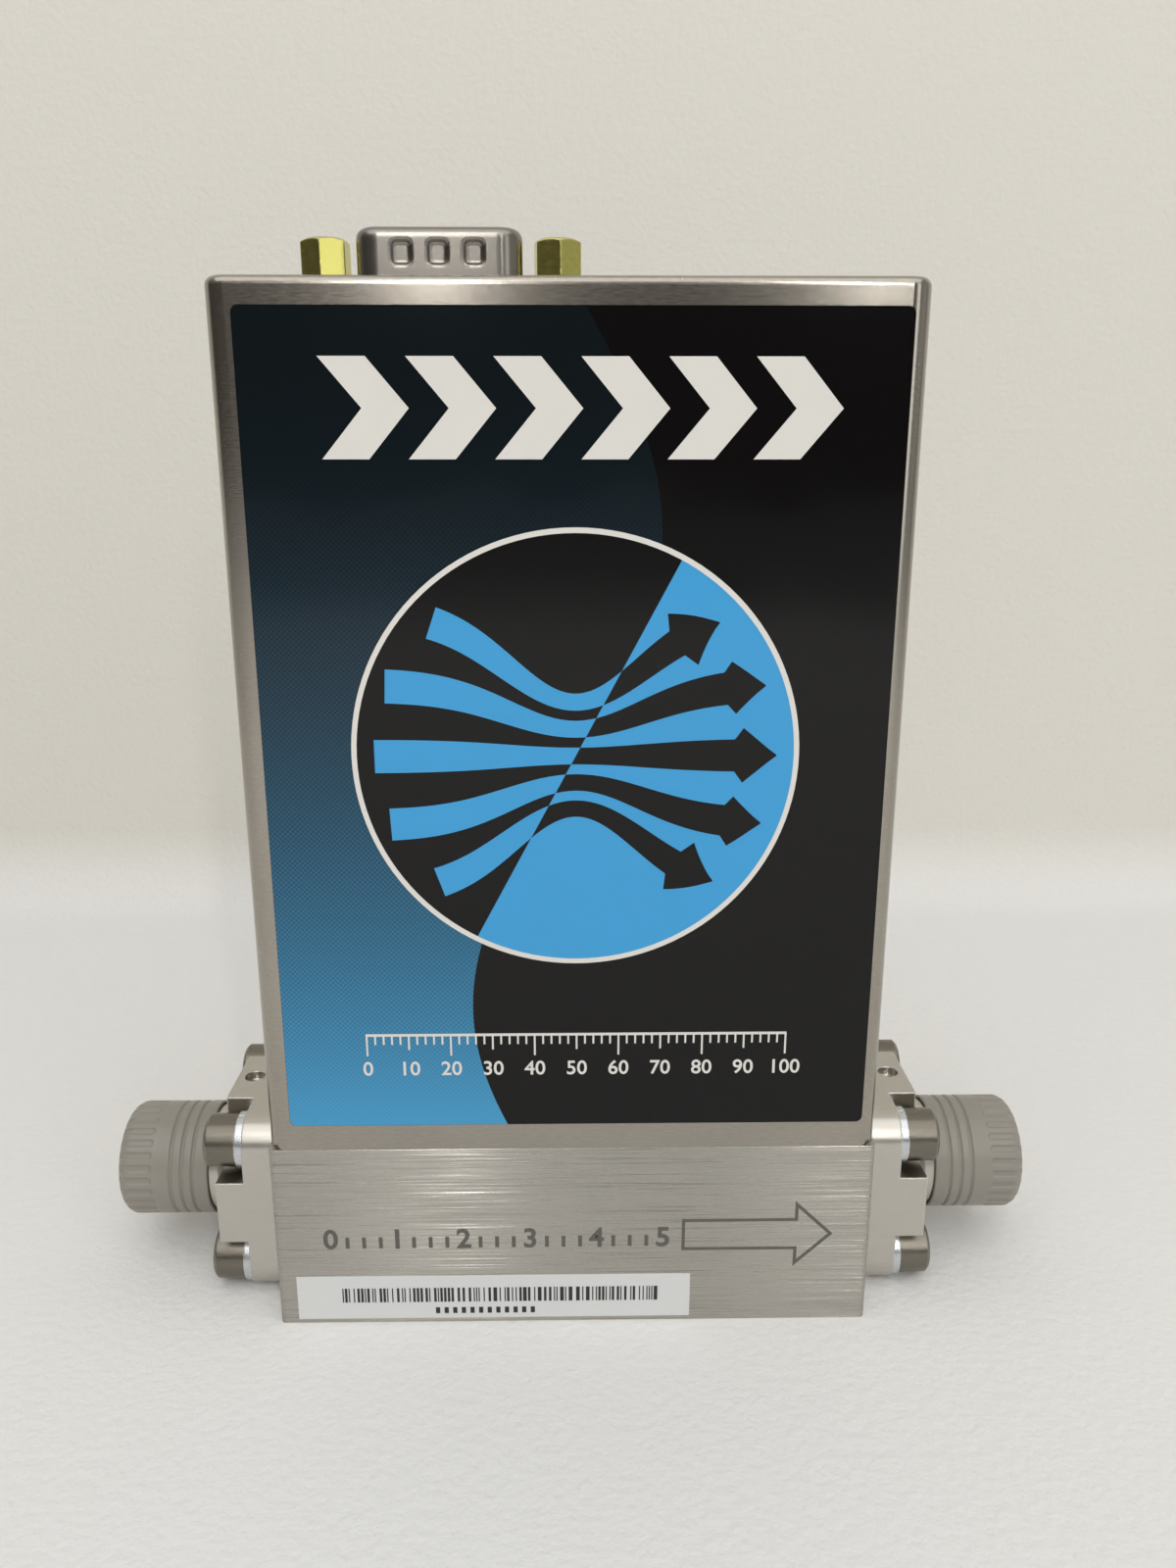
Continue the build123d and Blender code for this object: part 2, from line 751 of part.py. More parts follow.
with BuildPart() as circuit_board:
    with BuildSketch(Plane.XZ.offset(-board_back)):
        with Locations((0, (board_bottom + board_top) / 2)):
            RectangleRounded(board_width, board_top - board_bottom, board_corner)
        with Locations(*board_screw_places):
            Circle(small_screw_radius + jack_hole_gap, mode=Mode.SUBTRACT)
    extrude(amount=board_thickness)
circuit_board.part.label = "circuit_board"
export_step(circuit_board.part, "parts/circuit_board.step")

with BuildPart() as board_bracket:
    with BuildSketch(Plane.XZ.offset(-board_back)):
        with Locations((sensor_tap_centre, land_top)):
            Rectangle(bracket_width, bracket_height, align=(Align.CENTER, Align.MIN))
        with Locations(*board_screw_places):
            Circle(small_screw_radius + tapped_hole_gap, mode=Mode.SUBTRACT)
    extrude(amount=-bracket_wall)
    with BuildSketch(Plane.XY.offset(land_top)):
        with Locations((sensor_tap_centre, board_back)):
            Rectangle(bracket_width, bracket_foot, align=(Align.CENTER, Align.MIN))
        with Locations(*bracket_screw_places):
            Circle(small_screw_radius + jack_hole_gap, mode=Mode.SUBTRACT)
    extrude(amount=bracket_wall)
board_bracket.part.label = "board_bracket"
export_step(board_bracket.part, "parts/board_bracket.step")

with BuildPart() as bracket_screws:
    with BuildSketch(Plane.XY.offset(land_top + bracket_wall)):
        with Locations(*bracket_screw_places):
            Circle(small_head_radius)
    extrude(amount=small_head_height)
    with BuildSketch(Plane.XY.offset(land_top + bracket_wall)):
        with Locations(*bracket_screw_places):
            Circle(small_screw_radius)
    extrude(amount=-small_screw_length)
bracket_screws.part.label = "bracket_screws"
export_step(bracket_screws.part, "parts/bracket_screws.step")

with BuildPart() as board_screws:
    with BuildSketch(Plane.XZ.offset(-board_front)):
        with Locations(*board_screw_places):
            Circle(small_head_radius)
    extrude(amount=small_head_height)
    with BuildSketch(Plane.XZ.offset(-board_front)):
        with Locations(*board_screw_places):
            Circle(small_screw_radius)
    extrude(amount=-(board_thickness + bracket_wall))
board_screws.part.label = "board_screws"
export_step(board_screws.part, "parts/board_screws.step")

with BuildPart() as board_chips:
    with BuildSketch(Plane.XZ.offset(-board_front + chip_standoff)):
        with Locations((chip_field_x, board_bottom + chip_field_rise)):
            with GridLocations(chip_pitch_x, chip_pitch_z, chip_columns, chip_rows):
                Rectangle(chip_length, chip_width)
    extrude(amount=chip_height)
    with BuildSketch(Plane.XZ.offset(-board_front)):
        with Locations((chip_field_x, board_bottom + chip_field_rise)):
            with GridLocations(chip_pitch_x, chip_pitch_z, chip_columns, chip_rows):
                with GridLocations(chip_leg_pitch, chip_width + chip_leg, 4, 2):
                    Rectangle(chip_leg, chip_leg)
    extrude(amount=chip_standoff + chip_height / 2)
board_chips.part.label = "board_chips"
export_step(board_chips.part, "parts/board_chips.step")

with BuildPart() as board_capacitors:
    with BuildSketch(Plane.XZ.offset(-board_back)):
        with Locations(*capacitor_places):
            Circle(capacitor_radius)
    extrude(amount=-capacitor_length)
board_capacitors.part.label = "board_capacitors"
export_step(board_capacitors.part, "parts/board_capacitors.step")

with BuildPart() as board_header:
    with BuildSketch(Plane.XZ.offset(-board_back)):
        with Locations(header_place):
            Rectangle(header_width, header_height)
    extrude(amount=-header_depth)
board_header.part.label = "board_header"
export_step(board_header.part, "parts/board_header.step")


# ---- thermal sensor ----

sensor_top = land_top + sensor_base_height
winding_height = sensor_top + capillary_rise
winding_end = winding_gap / 2 + winding_length
lead_columns = [
    sensor_tap_centre + side * along
    for side in (-1, 1)
    for along in (winding_gap / 2 + sensor_lead_inset, winding_end - sensor_lead_inset)
]

with BuildPart() as sensor_base:
    with BuildSketch(Plane.XY.offset(land_top)):
        with Locations((sensor_tap_centre, sensor_y)):
            Rectangle(sensor_length, sensor_depth)
    extrude(amount=sensor_base_height)
    with BuildSketch(Plane.XY.offset(land_top)):
        with Locations(*tap_places):
            Circle(capillary_radius)
        with Locations(*sensor_screw_places):
            Circle(small_screw_radius + jack_hole_gap)
    extrude(amount=sensor_base_height, mode=Mode.SUBTRACT)
    with BuildSketch(Plane.XY.offset(land_top)):
        with Locations(*tap_places):
            Circle(sensor_seal_radius)
    extrude(amount=sensor_seal_height, mode=Mode.SUBTRACT)
    with BuildSketch(Plane.XY.offset(sensor_top)):
        with Locations(*sensor_screw_places):
            Circle(sensor_screw_head + seal_fit)
    extrude(amount=-small_head_height, mode=Mode.SUBTRACT)
sensor_base.part.label = "sensor_base"
export_step(sensor_base.part, "parts/sensor_base.step")

with BuildPart() as sensor_seals:
    with BuildSketch(Plane.XY.offset(land_top)):
        with Locations(*tap_places):
            Circle(sensor_seal_radius)
            Circle(sensor_seal_bore, mode=Mode.SUBTRACT)
    extrude(amount=sensor_seal_height)
sensor_seals.part.label = "sensor_seals"
export_step(sensor_seals.part, "parts/sensor_seals.step")

with BuildPart() as sensor_screws:
    with BuildSketch(Plane.XY.offset(sensor_top - small_head_height)):
        with Locations(*sensor_screw_places):
            Circle(sensor_screw_head)
    extrude(amount=small_head_height)
    with BuildSketch(Plane.XY.offset(sensor_top - small_head_height)):
        with Locations(*sensor_screw_places):
            Circle(small_screw_radius)
    extrude(amount=-(sensor_base_height - small_head_height + small_screw_length))
sensor_screws.part.label = "sensor_screws"
export_step(sensor_screws.part, "parts/sensor_screws.step")

with BuildPart() as sensor_tube:
    with BuildLine() as capillary_path:
        FilletPolyline(
            (tap_places[0][0], tap_y, land_top + sensor_seal_height),
            (tap_places[0][0], tap_y, winding_height),
            (tap_places[1][0], tap_y, winding_height),
            (tap_places[1][0], tap_y, land_top + sensor_seal_height),
            radius=capillary_bend,
        )
    with BuildSketch(Plane(origin=capillary_path.line @ 0, z_dir=capillary_path.line % 0)):
        Circle(capillary_radius)
    sweep()
sensor_tube.part.label = "sensor_tube"
export_step(sensor_tube.part, "parts/sensor_tube.step")

with BuildPart() as sensor_windings:
    with BuildSketch(Plane.YZ.offset(sensor_tap_centre + winding_gap / 2)):
        with Locations((tap_y, winding_height)):
            Circle(winding_radius)
            Circle(capillary_radius, mode=Mode.SUBTRACT)
    extrude(amount=winding_length)
    mirror(about=Plane.YZ.offset(sensor_tap_centre))
sensor_windings.part.label = "sensor_windings"
export_step(sensor_windings.part, "parts/sensor_windings.step")

with BuildPart() as sensor_cover:
    with BuildSketch(Plane.XY.offset(sensor_top)):
        with Locations((sensor_tap_centre, sensor_y)):
            Rectangle(sensor_length, sensor_depth)
    extrude(amount=sensor_cover_height)
    with BuildSketch(Plane.XY.offset(sensor_top)):
        with Locations((sensor_tap_centre, sensor_y)):
            Rectangle(sensor_length - 2 * sensor_cover_wall, sensor_depth - 2 * sensor_cover_wall)
    extrude(amount=sensor_cover_height - sensor_cover_wall, mode=Mode.SUBTRACT)
    with BuildSketch(Plane.XY.offset(sensor_top + sensor_cover_height)):
        with Locations(*[(x, tap_y) for x in lead_columns]):
            Circle(sensor_lead_radius + lead_hole_gap)
    extrude(amount=-sensor_cover_wall, mode=Mode.SUBTRACT)
sensor_cover.part.label = "sensor_cover"
export_step(sensor_cover.part, "parts/sensor_cover.step")

with BuildPart() as sensor_leads:
    for x in lead_columns:
        lead_top = sensor_top + sensor_cover_height + sensor_lead_rise
        with BuildLine() as lead_path:
            FilletPolyline(
                (x, tap_y, winding_height + winding_radius),
                (x, tap_y, lead_top),
                (x, board_back, lead_top),
                radius=sensor_lead_bend,
            )
        with BuildSketch(Plane(origin=lead_path.line @ 0, z_dir=lead_path.line % 0)):
            RegularPolygon(sensor_lead_radius, 6)
        sweep(path=lead_path.line)
sensor_leads.part.label = "sensor_leads"
export_step(sensor_leads.part, "parts/sensor_leads.step")


# ---- laminar flow element ----

element_radius = bypass_bore_radius - element_fit
element_start = sensor_tap_centre - element_length / 2
retainer_start = -body_end + seal_thickness
retainer_end = retainer_start + retainer_length

with BuildPart() as bypass_element:
    with BuildSketch(Plane.YZ.offset(element_start)):
        with Locations((0, port_height)):
            Circle(element_radius)
            with PolarLocations(element_radius, element_groove_count):
                Rectangle(2 * element_groove_depth, element_groove_width, mode=Mode.SUBTRACT)
    extrude(amount=element_length)
    with BuildSketch(Plane.YZ.offset(retainer_end)):
        with Locations((0, port_height)):
            Circle(element_stem_radius)
    extrude(amount=bypass_bore_end - retainer_end)
bypass_element.part.label = "bypass_element"
export_step(bypass_element.part, "parts/bypass_element.step")

with BuildPart() as bypass_retainer:
    with BuildSketch(Plane.YZ.offset(retainer_start)):
        with Locations((0, port_height)):
            Circle(element_radius)
            with PolarLocations(retainer_circle_radius, retainer_hole_count):
                Circle(retainer_hole_radius, mode=Mode.SUBTRACT)
    extrude(amount=retainer_length)
bypass_retainer.part.label = "bypass_retainer"
export_step(bypass_retainer.part, "parts/bypass_retainer.step")


# ---- control valve ----

valve_axis = Axis((valve_offset, valve_y, 0), (0, 0, 1))
valve_section = Plane(origin=(valve_offset, valve_y, 0), x_dir=(1, 0, 0), z_dir=(0, -1, 0))
seat_top = cavity_floor + seat_height
plunger_bottom = seat_top + seat_lip + seat_gap
collar_top = plunger_bottom + plunger_collar_height
plunger_top = plunger_bottom + plunger_length
pole_bottom = plunger_top + plunger_lift + pole_gap
pilot_bottom = land_top - stem_pilot
stem_bore = plunger_radius + plunger_fit
stem_radius = stem_bore + stem_wall
stem_flange_top = land_top + stem_flange_height
can_bottom = stem_flange_top + stem_collar_height
coil_bottom = can_bottom + can_wall
can_top = coil_bottom + coil_length + can_wall
coil_bore = stem_radius + coil_fit

with BuildPart() as valve_seat:
    with BuildSketch(valve_section):
        with BuildLine():
            Polyline(
                (seat_orifice_radius, cavity_floor - seat_spigot),
                (valve_drill_radius, cavity_floor - seat_spigot),
                (valve_drill_radius, cavity_floor),
                (seat_radius, cavity_floor),
                (seat_radius, seat_top),
                (seat_lip_radius, seat_top),
                (seat_lip_radius - seat_lip, seat_top + seat_lip),
                (seat_orifice_radius, seat_top + seat_lip),
                close=True,
            )
        make_face()
    revolve(axis=valve_axis)
valve_seat.part.label = "valve_seat"
export_step(valve_seat.part, "parts/valve_seat.step")

with BuildPart() as valve_plunger:
    with BuildSketch(valve_section):
        with BuildLine():
            Polyline(
                (0, plunger_bottom + disc_height),
                (disc_radius, plunger_bottom + disc_height),
                (disc_radius, plunger_bottom),
                (plunger_collar_radius, plunger_bottom),
                (plunger_collar_radius, collar_top),
                (plunger_radius, collar_top),
                (plunger_radius, plunger_top),
                (0, plunger_top),
                close=True,
            )
        make_face()
    revolve(axis=valve_axis)
valve_plunger.part.label = "valve_plunger"
export_step(valve_plunger.part, "parts/valve_plunger.step")

with BuildPart() as plunger_disc:
    with BuildSketch(valve_plane.offset(plunger_bottom)):
        Circle(disc_radius)
    extrude(amount=disc_height)
plunger_disc.part.label = "plunger_disc"
export_step(plunger_disc.part, "parts/plunger_disc.step")

with BuildPart() as plunger_spring:
    spring_height = pilot_bottom - collar_top - spring_wire_height - 2 * spring_end_gap
    with BuildLine(valve_plane.offset(collar_top + spring_end_gap + spring_wire_height / 2)) as spring_path:
        Helix(pitch=spring_height / spring_turns, height=spring_height, radius=spring_radius)
    with BuildSketch(Plane(origin=spring_path.line @ 0, x_dir=(1, 0, 0), z_dir=spring_path.line % 0)):
        Rectangle(spring_wire_width, spring_wire_height)
    sweep(is_frenet=True)
plunger_spring.part.label = "plunger_spring"
export_step(plunger_spring.part, "parts/plunger_spring.step")

with BuildPart() as valve_stem:
    with BuildSketch(valve_section):
        with BuildLine():
            Polyline(
                (stem_bore, pilot_bottom),
                (valve_cavity_radius - stem_pilot_fit, pilot_bottom),
                (valve_cavity_radius - stem_pilot_fit, land_top),
                (stem_flange_radius, land_top),
                (stem_flange_radius, stem_flange_top),
                (stem_collar_radius, stem_flange_top),
                (stem_collar_radius, can_bottom),
                (stem_radius, can_bottom),
                (stem_radius, can_top - can_wall),
                (stem_bore, can_top - can_wall),
                close=True,
            )
        make_face()
    revolve(axis=valve_axis)
    with BuildSketch(valve_plane.offset(land_top)):
        with PolarLocations(valve_screw_circle_radius, 4, start_angle=45):
            Circle(valve_screw_radius + jack_hole_gap)
    extrude(amount=stem_flange_height, mode=Mode.SUBTRACT)
valve_stem.part.label = "valve_stem"
export_step(valve_stem.part, "parts/valve_stem.step")

with BuildPart() as valve_pole:
    with BuildSketch(valve_section):
        with BuildLine():
            Polyline(
                (0, pole_bottom),
                (stem_bore, pole_bottom),
                (stem_bore, can_top - can_wall),
                (stem_radius, can_top - can_wall),
                (stem_radius, can_top),
                (pole_stud_radius, can_top),
                (pole_stud_radius, can_top + pole_stud_length),
                (0, can_top + pole_stud_length),
                close=True,
            )
        make_face()
    revolve(axis=valve_axis)
valve_pole.part.label = "valve_pole"
export_step(valve_pole.part, "parts/valve_pole.step")

with BuildPart() as valve_seal:
    with BuildSketch(valve_plane.offset(land_top - valve_seal_width)):
        Circle(valve_cavity_radius + valve_seal_width)
        Circle(valve_cavity_radius, mode=Mode.SUBTRACT)
    extrude(amount=valve_seal_width)
valve_seal.part.label = "valve_seal"
export_step(valve_seal.part, "parts/valve_seal.step")

with BuildPart() as valve_screws:
    with BuildSketch(valve_plane.offset(stem_flange_top)):
        with PolarLocations(valve_screw_circle_radius, 4, start_angle=45):
            Circle(valve_screw_head)
    extrude(amount=valve_screw_head_height)
    with BuildSketch(valve_plane.offset(stem_flange_top)):
        with PolarLocations(valve_screw_circle_radius, 4, start_angle=45):
            Circle(valve_screw_radius)
    extrude(amount=-valve_screw_length)
valve_screws.part.label = "valve_screws"
export_step(valve_screws.part, "parts/valve_screws.step")

with BuildPart() as coil_washer:
    with BuildSketch(valve_plane.offset(can_bottom)):
        Circle(can_radius - can_wall)
        Circle(coil_bore, mode=Mode.SUBTRACT)
    extrude(amount=can_wall)
coil_washer.part.label = "coil_washer"
export_step(coil_washer.part, "parts/coil_washer.step")

with BuildPart() as coil_bobbin:
    with BuildSketch(valve_section):
        with BuildLine():
            Polyline(
                (coil_bore, coil_bottom),
                (coil_radius, coil_bottom),
                (coil_radius, coil_bottom + coil_flange),
                (coil_bore + coil_flange, coil_bottom + coil_flange),
                (coil_bore + coil_flange, coil_bottom + coil_length - coil_flange),
                (coil_radius, coil_bottom + coil_length - coil_flange),
                (coil_radius, coil_bottom + coil_length),
                (coil_bore, coil_bottom + coil_length),
                close=True,
            )
        make_face()
    revolve(axis=valve_axis)
coil_bobbin.part.label = "coil_bobbin"
export_step(coil_bobbin.part, "parts/coil_bobbin.step")

with BuildPart() as coil_winding:
    with BuildSketch(valve_plane.offset(coil_bottom + coil_flange)):
        Circle(coil_radius - coil_fit)
        Circle(coil_bore + coil_flange, mode=Mode.SUBTRACT)
    extrude(amount=coil_length - 2 * coil_flange)
coil_winding.part.label = "coil_winding"
export_step(coil_winding.part, "parts/coil_winding.step")

with BuildPart() as coil_can:
    with BuildSketch(valve_plane.offset(can_bottom)):
        Circle(can_radius)
        Circle(can_radius - can_wall, mode=Mode.SUBTRACT)
    extrude(amount=can_top - can_wall - can_bottom)
    with BuildSketch(valve_plane.offset(can_top - can_wall)):
        Circle(can_radius)
        Circle(stem_radius, mode=Mode.SUBTRACT)
        with Locations((0, -coil_lead_setback)):
            with GridLocations(coil_lead_spacing, 0, 2, 1):
                Circle(coil_lead_radius + lead_hole_gap, mode=Mode.SUBTRACT)
    extrude(amount=can_wall)
coil_can.part.label = "coil_can"
export_step(coil_can.part, "parts/coil_can.step")

with BuildPart() as valve_nut:
    with BuildSketch(valve_plane.offset(can_top)):
        RegularPolygon(valve_nut_across / 2, 6, major_radius=False)
        Circle(pole_stud_radius, mode=Mode.SUBTRACT)
    extrude(amount=valve_nut_height)
valve_nut.part.label = "valve_nut"
export_step(valve_nut.part, "parts/valve_nut.step")

with BuildPart() as coil_leads:
    with BuildSketch(valve_plane.offset(can_top - can_wall)):
        with Locations((0, -coil_lead_setback)):
            with GridLocations(coil_lead_spacing, 0, 2, 1):
                Circle(coil_lead_radius)
    extrude(amount=board_bottom + header_rise - header_height / 2 - can_top + can_wall)
coil_leads.part.label = "coil_leads"
export_step(coil_leads.part, "parts/coil_leads.step")
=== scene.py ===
import json
import math
import random

import bmesh
import bpy
from mathutils import Matrix, Vector, geometry


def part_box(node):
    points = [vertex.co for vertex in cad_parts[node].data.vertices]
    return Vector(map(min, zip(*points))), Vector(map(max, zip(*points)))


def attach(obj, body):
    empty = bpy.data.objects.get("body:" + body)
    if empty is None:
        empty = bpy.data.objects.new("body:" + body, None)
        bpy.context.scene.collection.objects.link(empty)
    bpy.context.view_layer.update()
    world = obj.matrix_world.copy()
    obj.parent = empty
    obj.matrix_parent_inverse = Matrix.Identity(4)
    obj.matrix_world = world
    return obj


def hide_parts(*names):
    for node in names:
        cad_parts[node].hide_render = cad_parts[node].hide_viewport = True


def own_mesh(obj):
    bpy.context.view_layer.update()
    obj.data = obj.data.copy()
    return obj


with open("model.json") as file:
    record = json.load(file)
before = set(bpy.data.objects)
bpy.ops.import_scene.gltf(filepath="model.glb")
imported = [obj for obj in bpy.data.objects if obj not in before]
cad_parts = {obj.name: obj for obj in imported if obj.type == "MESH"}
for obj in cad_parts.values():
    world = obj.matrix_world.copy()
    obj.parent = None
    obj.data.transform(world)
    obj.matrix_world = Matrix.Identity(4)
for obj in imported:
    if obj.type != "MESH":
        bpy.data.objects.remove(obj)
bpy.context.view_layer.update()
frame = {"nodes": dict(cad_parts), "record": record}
nodes = frame["nodes"]
mm = 0.001
weldGap = 1e-7
speckLength = 1e-8
print("frame loaded:", len(nodes), "nodes")


def boxOf(node):
    return [Vector(corner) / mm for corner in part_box(node)]


# shader tree helpers


def addNode(tree, kind, **settings):
    node = tree.nodes.new(kind)
    for key, value in settings.items():
        setattr(node, key, value)
    return node


def feed(tree, socket, value):
    if isinstance(value, bpy.types.NodeSocket):
        tree.links.new(value, socket)
    elif isinstance(value, tuple) and len(value) == 3 and socket.type == "RGBA":
        socket.default_value = (*value, 1.0)
    elif value is not None:
        socket.default_value = value


def mathNode(tree, operation, first, second=None, clamp=False):
    node = addNode(tree, "ShaderNodeMath", operation=operation, use_clamp=clamp)
    feed(tree, node.inputs[0], first)
    feed(tree, node.inputs[1], second)
    return node.outputs[0]


def mixColor(tree, factor, first, second, blend="MIX"):
    node = addNode(tree, "ShaderNodeMix", data_type="RGBA", blend_type=blend)
    feed(tree, node.inputs[0], factor)
    feed(tree, node.inputs[6], first)
    feed(tree, node.inputs[7], second)
    return node.outputs[2]


def mapRange(tree, value, low, high, newLow, newHigh):
    node = addNode(tree, "ShaderNodeMapRange")
    for slot, part in enumerate((value, low, high, newLow, newHigh)):
        feed(tree, node.inputs[slot], part)
    return node.outputs[0]


def noiseNode(tree, vector, scale, detail=3.0, roughness=0.5):
    node = addNode(tree, "ShaderNodeTexNoise")
    feed(tree, node.inputs["Vector"], vector)
    feed(tree, node.inputs["Scale"], scale)
    feed(tree, node.inputs["Detail"], detail)
    feed(tree, node.inputs["Roughness"], roughness)
    return node.outputs["Fac"]


def splitAxes(tree, vector):
    node = addNode(tree, "ShaderNodeSeparateXYZ")
    feed(tree, node.inputs[0], vector)
    return node.outputs


def vectorNode(tree, operation, first, second=None):
    node = addNode(tree, "ShaderNodeVectorMath", operation=operation)
    feed(tree, node.inputs[0], first)
    feed(tree, node.inputs["Scale" if operation == "SCALE" else 1], second)
    return node.outputs["Value" if operation == "DOT_PRODUCT" else 0]


def swingAround(tree, value, amount):
    return mathNode(tree, "MULTIPLY", mathNode(tree, "SUBTRACT", value, 0.5), amount)


def newGroup(name, inputs, outputs):
    tree = bpy.data.node_groups.new(name, "ShaderNodeTree")
    for label, kind, value in inputs:
        socket = tree.interface.new_socket(label, in_out="INPUT", socket_type="NodeSocket" + kind)
        socket.default_value = value
    for label, kind in outputs:
        tree.interface.new_socket(label, in_out="OUTPUT", socket_type="NodeSocket" + kind)
    return tree, addNode(tree, "NodeGroupInput").outputs, addNode(tree, "NodeGroupOutput").inputs


def useGroup(tree, group, values):
    node = addNode(tree, "ShaderNodeGroup", node_tree=group)
    for label, value in values.items():
        feed(tree, node.inputs[label], value)
    return node.outputs


def bumpFrom(tree, height, strength, distance, normal=None):
    node = addNode(tree, "ShaderNodeBump")
    feed(tree, node.inputs["Strength"], strength)
    feed(tree, node.inputs["Distance"], distance)
    feed(tree, node.inputs["Height"], height)
    feed(tree, node.inputs["Normal"], normal)
    return node.outputs[0]


def newMaterial(name, color, roughness, metallic=0.0, **more):
    material = bpy.data.materials.new(name)
    material.use_nodes = True
    tree = material.node_tree
    shader = tree.nodes["Principled BSDF"]
    feed(tree, shader.inputs["Base Color"], color)
    feed(tree, shader.inputs["Roughness"], roughness)
    feed(tree, shader.inputs["Metallic"], metallic)
    for label, value in more.items():
        feed(tree, shader.inputs[label.replace("_", " ")], value)
    return material, tree, shader


# effects shared by several materials
grainForm = {"endFacing": 0.7, "fineDetail": 4.0, "fineRoughness": 0.65, "broadScale": 55.0, "broadDetail": 2.0}


def brushedGrainGroup():
    tree, given, out = newGroup(
        "brushedGrain",
        [
            ("Tint", "Color", (0.6, 0.6, 0.6, 1.0)),
            ("Along", "Float", 90.0),
            ("Across", "Float", 5000.0),
            ("Contrast", "Float", 0.25),
            ("Mottle", "Float", 0.15),
            ("Roughness", "Float", 0.35),
            ("Spread", "Float", 0.2),
            ("Lean", "Float", 0.0),
        ],
        [("Color", "Color"), ("Roughness", "Float"), ("Height", "Float"), ("Lean", "Vector")],
    )
    place = addNode(tree, "ShaderNodeTexCoord")
    axes = splitAxes(tree, place.outputs["Object"])
    facing = splitAxes(tree, place.outputs["Normal"])
    onEnd = mathNode(tree, "GREATER_THAN", mathNode(tree, "ABSOLUTE", facing[0]), grainForm["endFacing"])
    joined = addNode(tree, "ShaderNodeCombineXYZ")
    # lines run along X, and along Y on the ends
    for slot, stretch in enumerate((given["Along"], given["Across"])):
        run = addNode(tree, "ShaderNodeMix")
        feed(tree, run.inputs[0], onEnd)
        feed(tree, run.inputs[2], axes[slot])
        feed(tree, run.inputs[3], axes[1 - slot])
        feed(tree, joined.inputs[slot], mathNode(tree, "MULTIPLY", run.outputs[0], stretch))
    feed(tree, joined.inputs[2], mathNode(tree, "MULTIPLY", axes[2], given["Across"]))
    fine = noiseNode(tree, joined.outputs[0], 1.0, grainForm["fineDetail"], grainForm["fineRoughness"])
    broad = noiseNode(tree, place.outputs["Object"], grainForm["broadScale"], grainForm["broadDetail"])
    swing = mathNode(
        tree, "ADD", swingAround(tree, fine, given["Contrast"]), swingAround(tree, broad, given["Mottle"])
    )
    feed(tree, out["Color"], vectorNode(tree, "SCALE", given["Tint"], mathNode(tree, "ADD", swing, 1.0)))
    spread = swingAround(tree, fine, given["Spread"])
    feed(tree, out["Roughness"], mathNode(tree, "ADD", given["Roughness"], spread, clamp=True))
    feed(tree, out["Height"], fine)
    # scratches lean the surface across the lines, too fine for a bump
    line = addNode(tree, "ShaderNodeCombineXYZ")
    feed(tree, line.inputs[0], mathNode(tree, "SUBTRACT", 1.0, onEnd))
    feed(tree, line.inputs[1], onEnd)
    sideways = vectorNode(tree, "CROSS_PRODUCT", line.outputs[0], place.outputs["Normal"])
    feed(tree, out["Lean"], vectorNode(tree, "SCALE", sideways, swingAround(tree, fine, given["Lean"])))
    return tree


edgeForm = {"samples": 6, "flat": 0.995, "sharp": 0.9, "raggedScale": 1800.0, "raggedLow": 0.35, "raggedHigh": 0.65}


# Mask marks turned edges, broken up by noise, for a highlight painted into the colour; Normal rounds the edges for
# real shading
def edgeWearGroup():
    tree, given, out = newGroup(
        "paintedEdgeHighlight",
        [("Radius", "Float", 0.0004), ("Break", "Float", 0.5)],
        [("Mask", "Float"), ("Normal", "Vector")],
    )
    rounded = addNode(tree, "ShaderNodeBevel", samples=edgeForm["samples"])
    feed(tree, rounded.inputs["Radius"], given["Radius"])
    true = addNode(tree, "ShaderNodeNewGeometry")
    turn = vectorNode(tree, "DOT_PRODUCT", rounded.outputs[0], true.outputs["Normal"])
    bend = mapRange(tree, turn, edgeForm["flat"], edgeForm["sharp"], 0.0, 1.0)
    place = addNode(tree, "ShaderNodeTexCoord")
    ragged = noiseNode(tree, place.outputs["Object"], edgeForm["raggedScale"])
    unbroken = mathNode(tree, "SUBTRACT", 1.0, given["Break"])
    kept = mapRange(tree, ragged, edgeForm["raggedLow"], edgeForm["raggedHigh"], unbroken, 1.0)
    feed(tree, out["Mask"], mathNode(tree, "MULTIPLY", bend, kept, clamp=True))
    feed(tree, out["Normal"], rounded.outputs[0])
    return tree


speckForm = {"patchScale": 220.0, "patchDetail": 2.0, "reach": 0.28, "bare": 0.42, "full": 0.62, "least": 0.15}


# scattered bright specks that paint small glints into a metal's colour
def speckleGroup():
    tree, given, out = newGroup(
        "glintSpeckle",
        [("Scale", "Float", 2500.0), ("Amount", "Float", 0.1)],
        [("Mask", "Float")],
    )
    place = addNode(tree, "ShaderNodeTexCoord")
    cells = addNode(tree, "ShaderNodeTexVoronoi")
    feed(tree, cells.inputs["Vector"], place.outputs["Object"])
    feed(tree, cells.inputs["Scale"], given["Scale"])
    patch = noiseNode(tree, place.outputs["Object"], speckForm["patchScale"], speckForm["patchDetail"])
    near = mapRange(tree, cells.outputs["Distance"], 0.0, speckForm["reach"], 1.0, 0.0)
    chosen = mathNode(tree, "LESS_THAN", cells.outputs["Color"], given["Amount"])
    gathered = mapRange(tree, patch, speckForm["bare"], speckForm["full"], speckForm["least"], 1.0)
    feed(tree, out["Mask"], mathNode(tree, "MULTIPLY", mathNode(tree, "MULTIPLY", near, chosen), gathered))
    return tree


skinForm = {"fineDetail": 4.0, "broadScale": 120.0, "broadDetail": 2.0, "drift": 0.15}


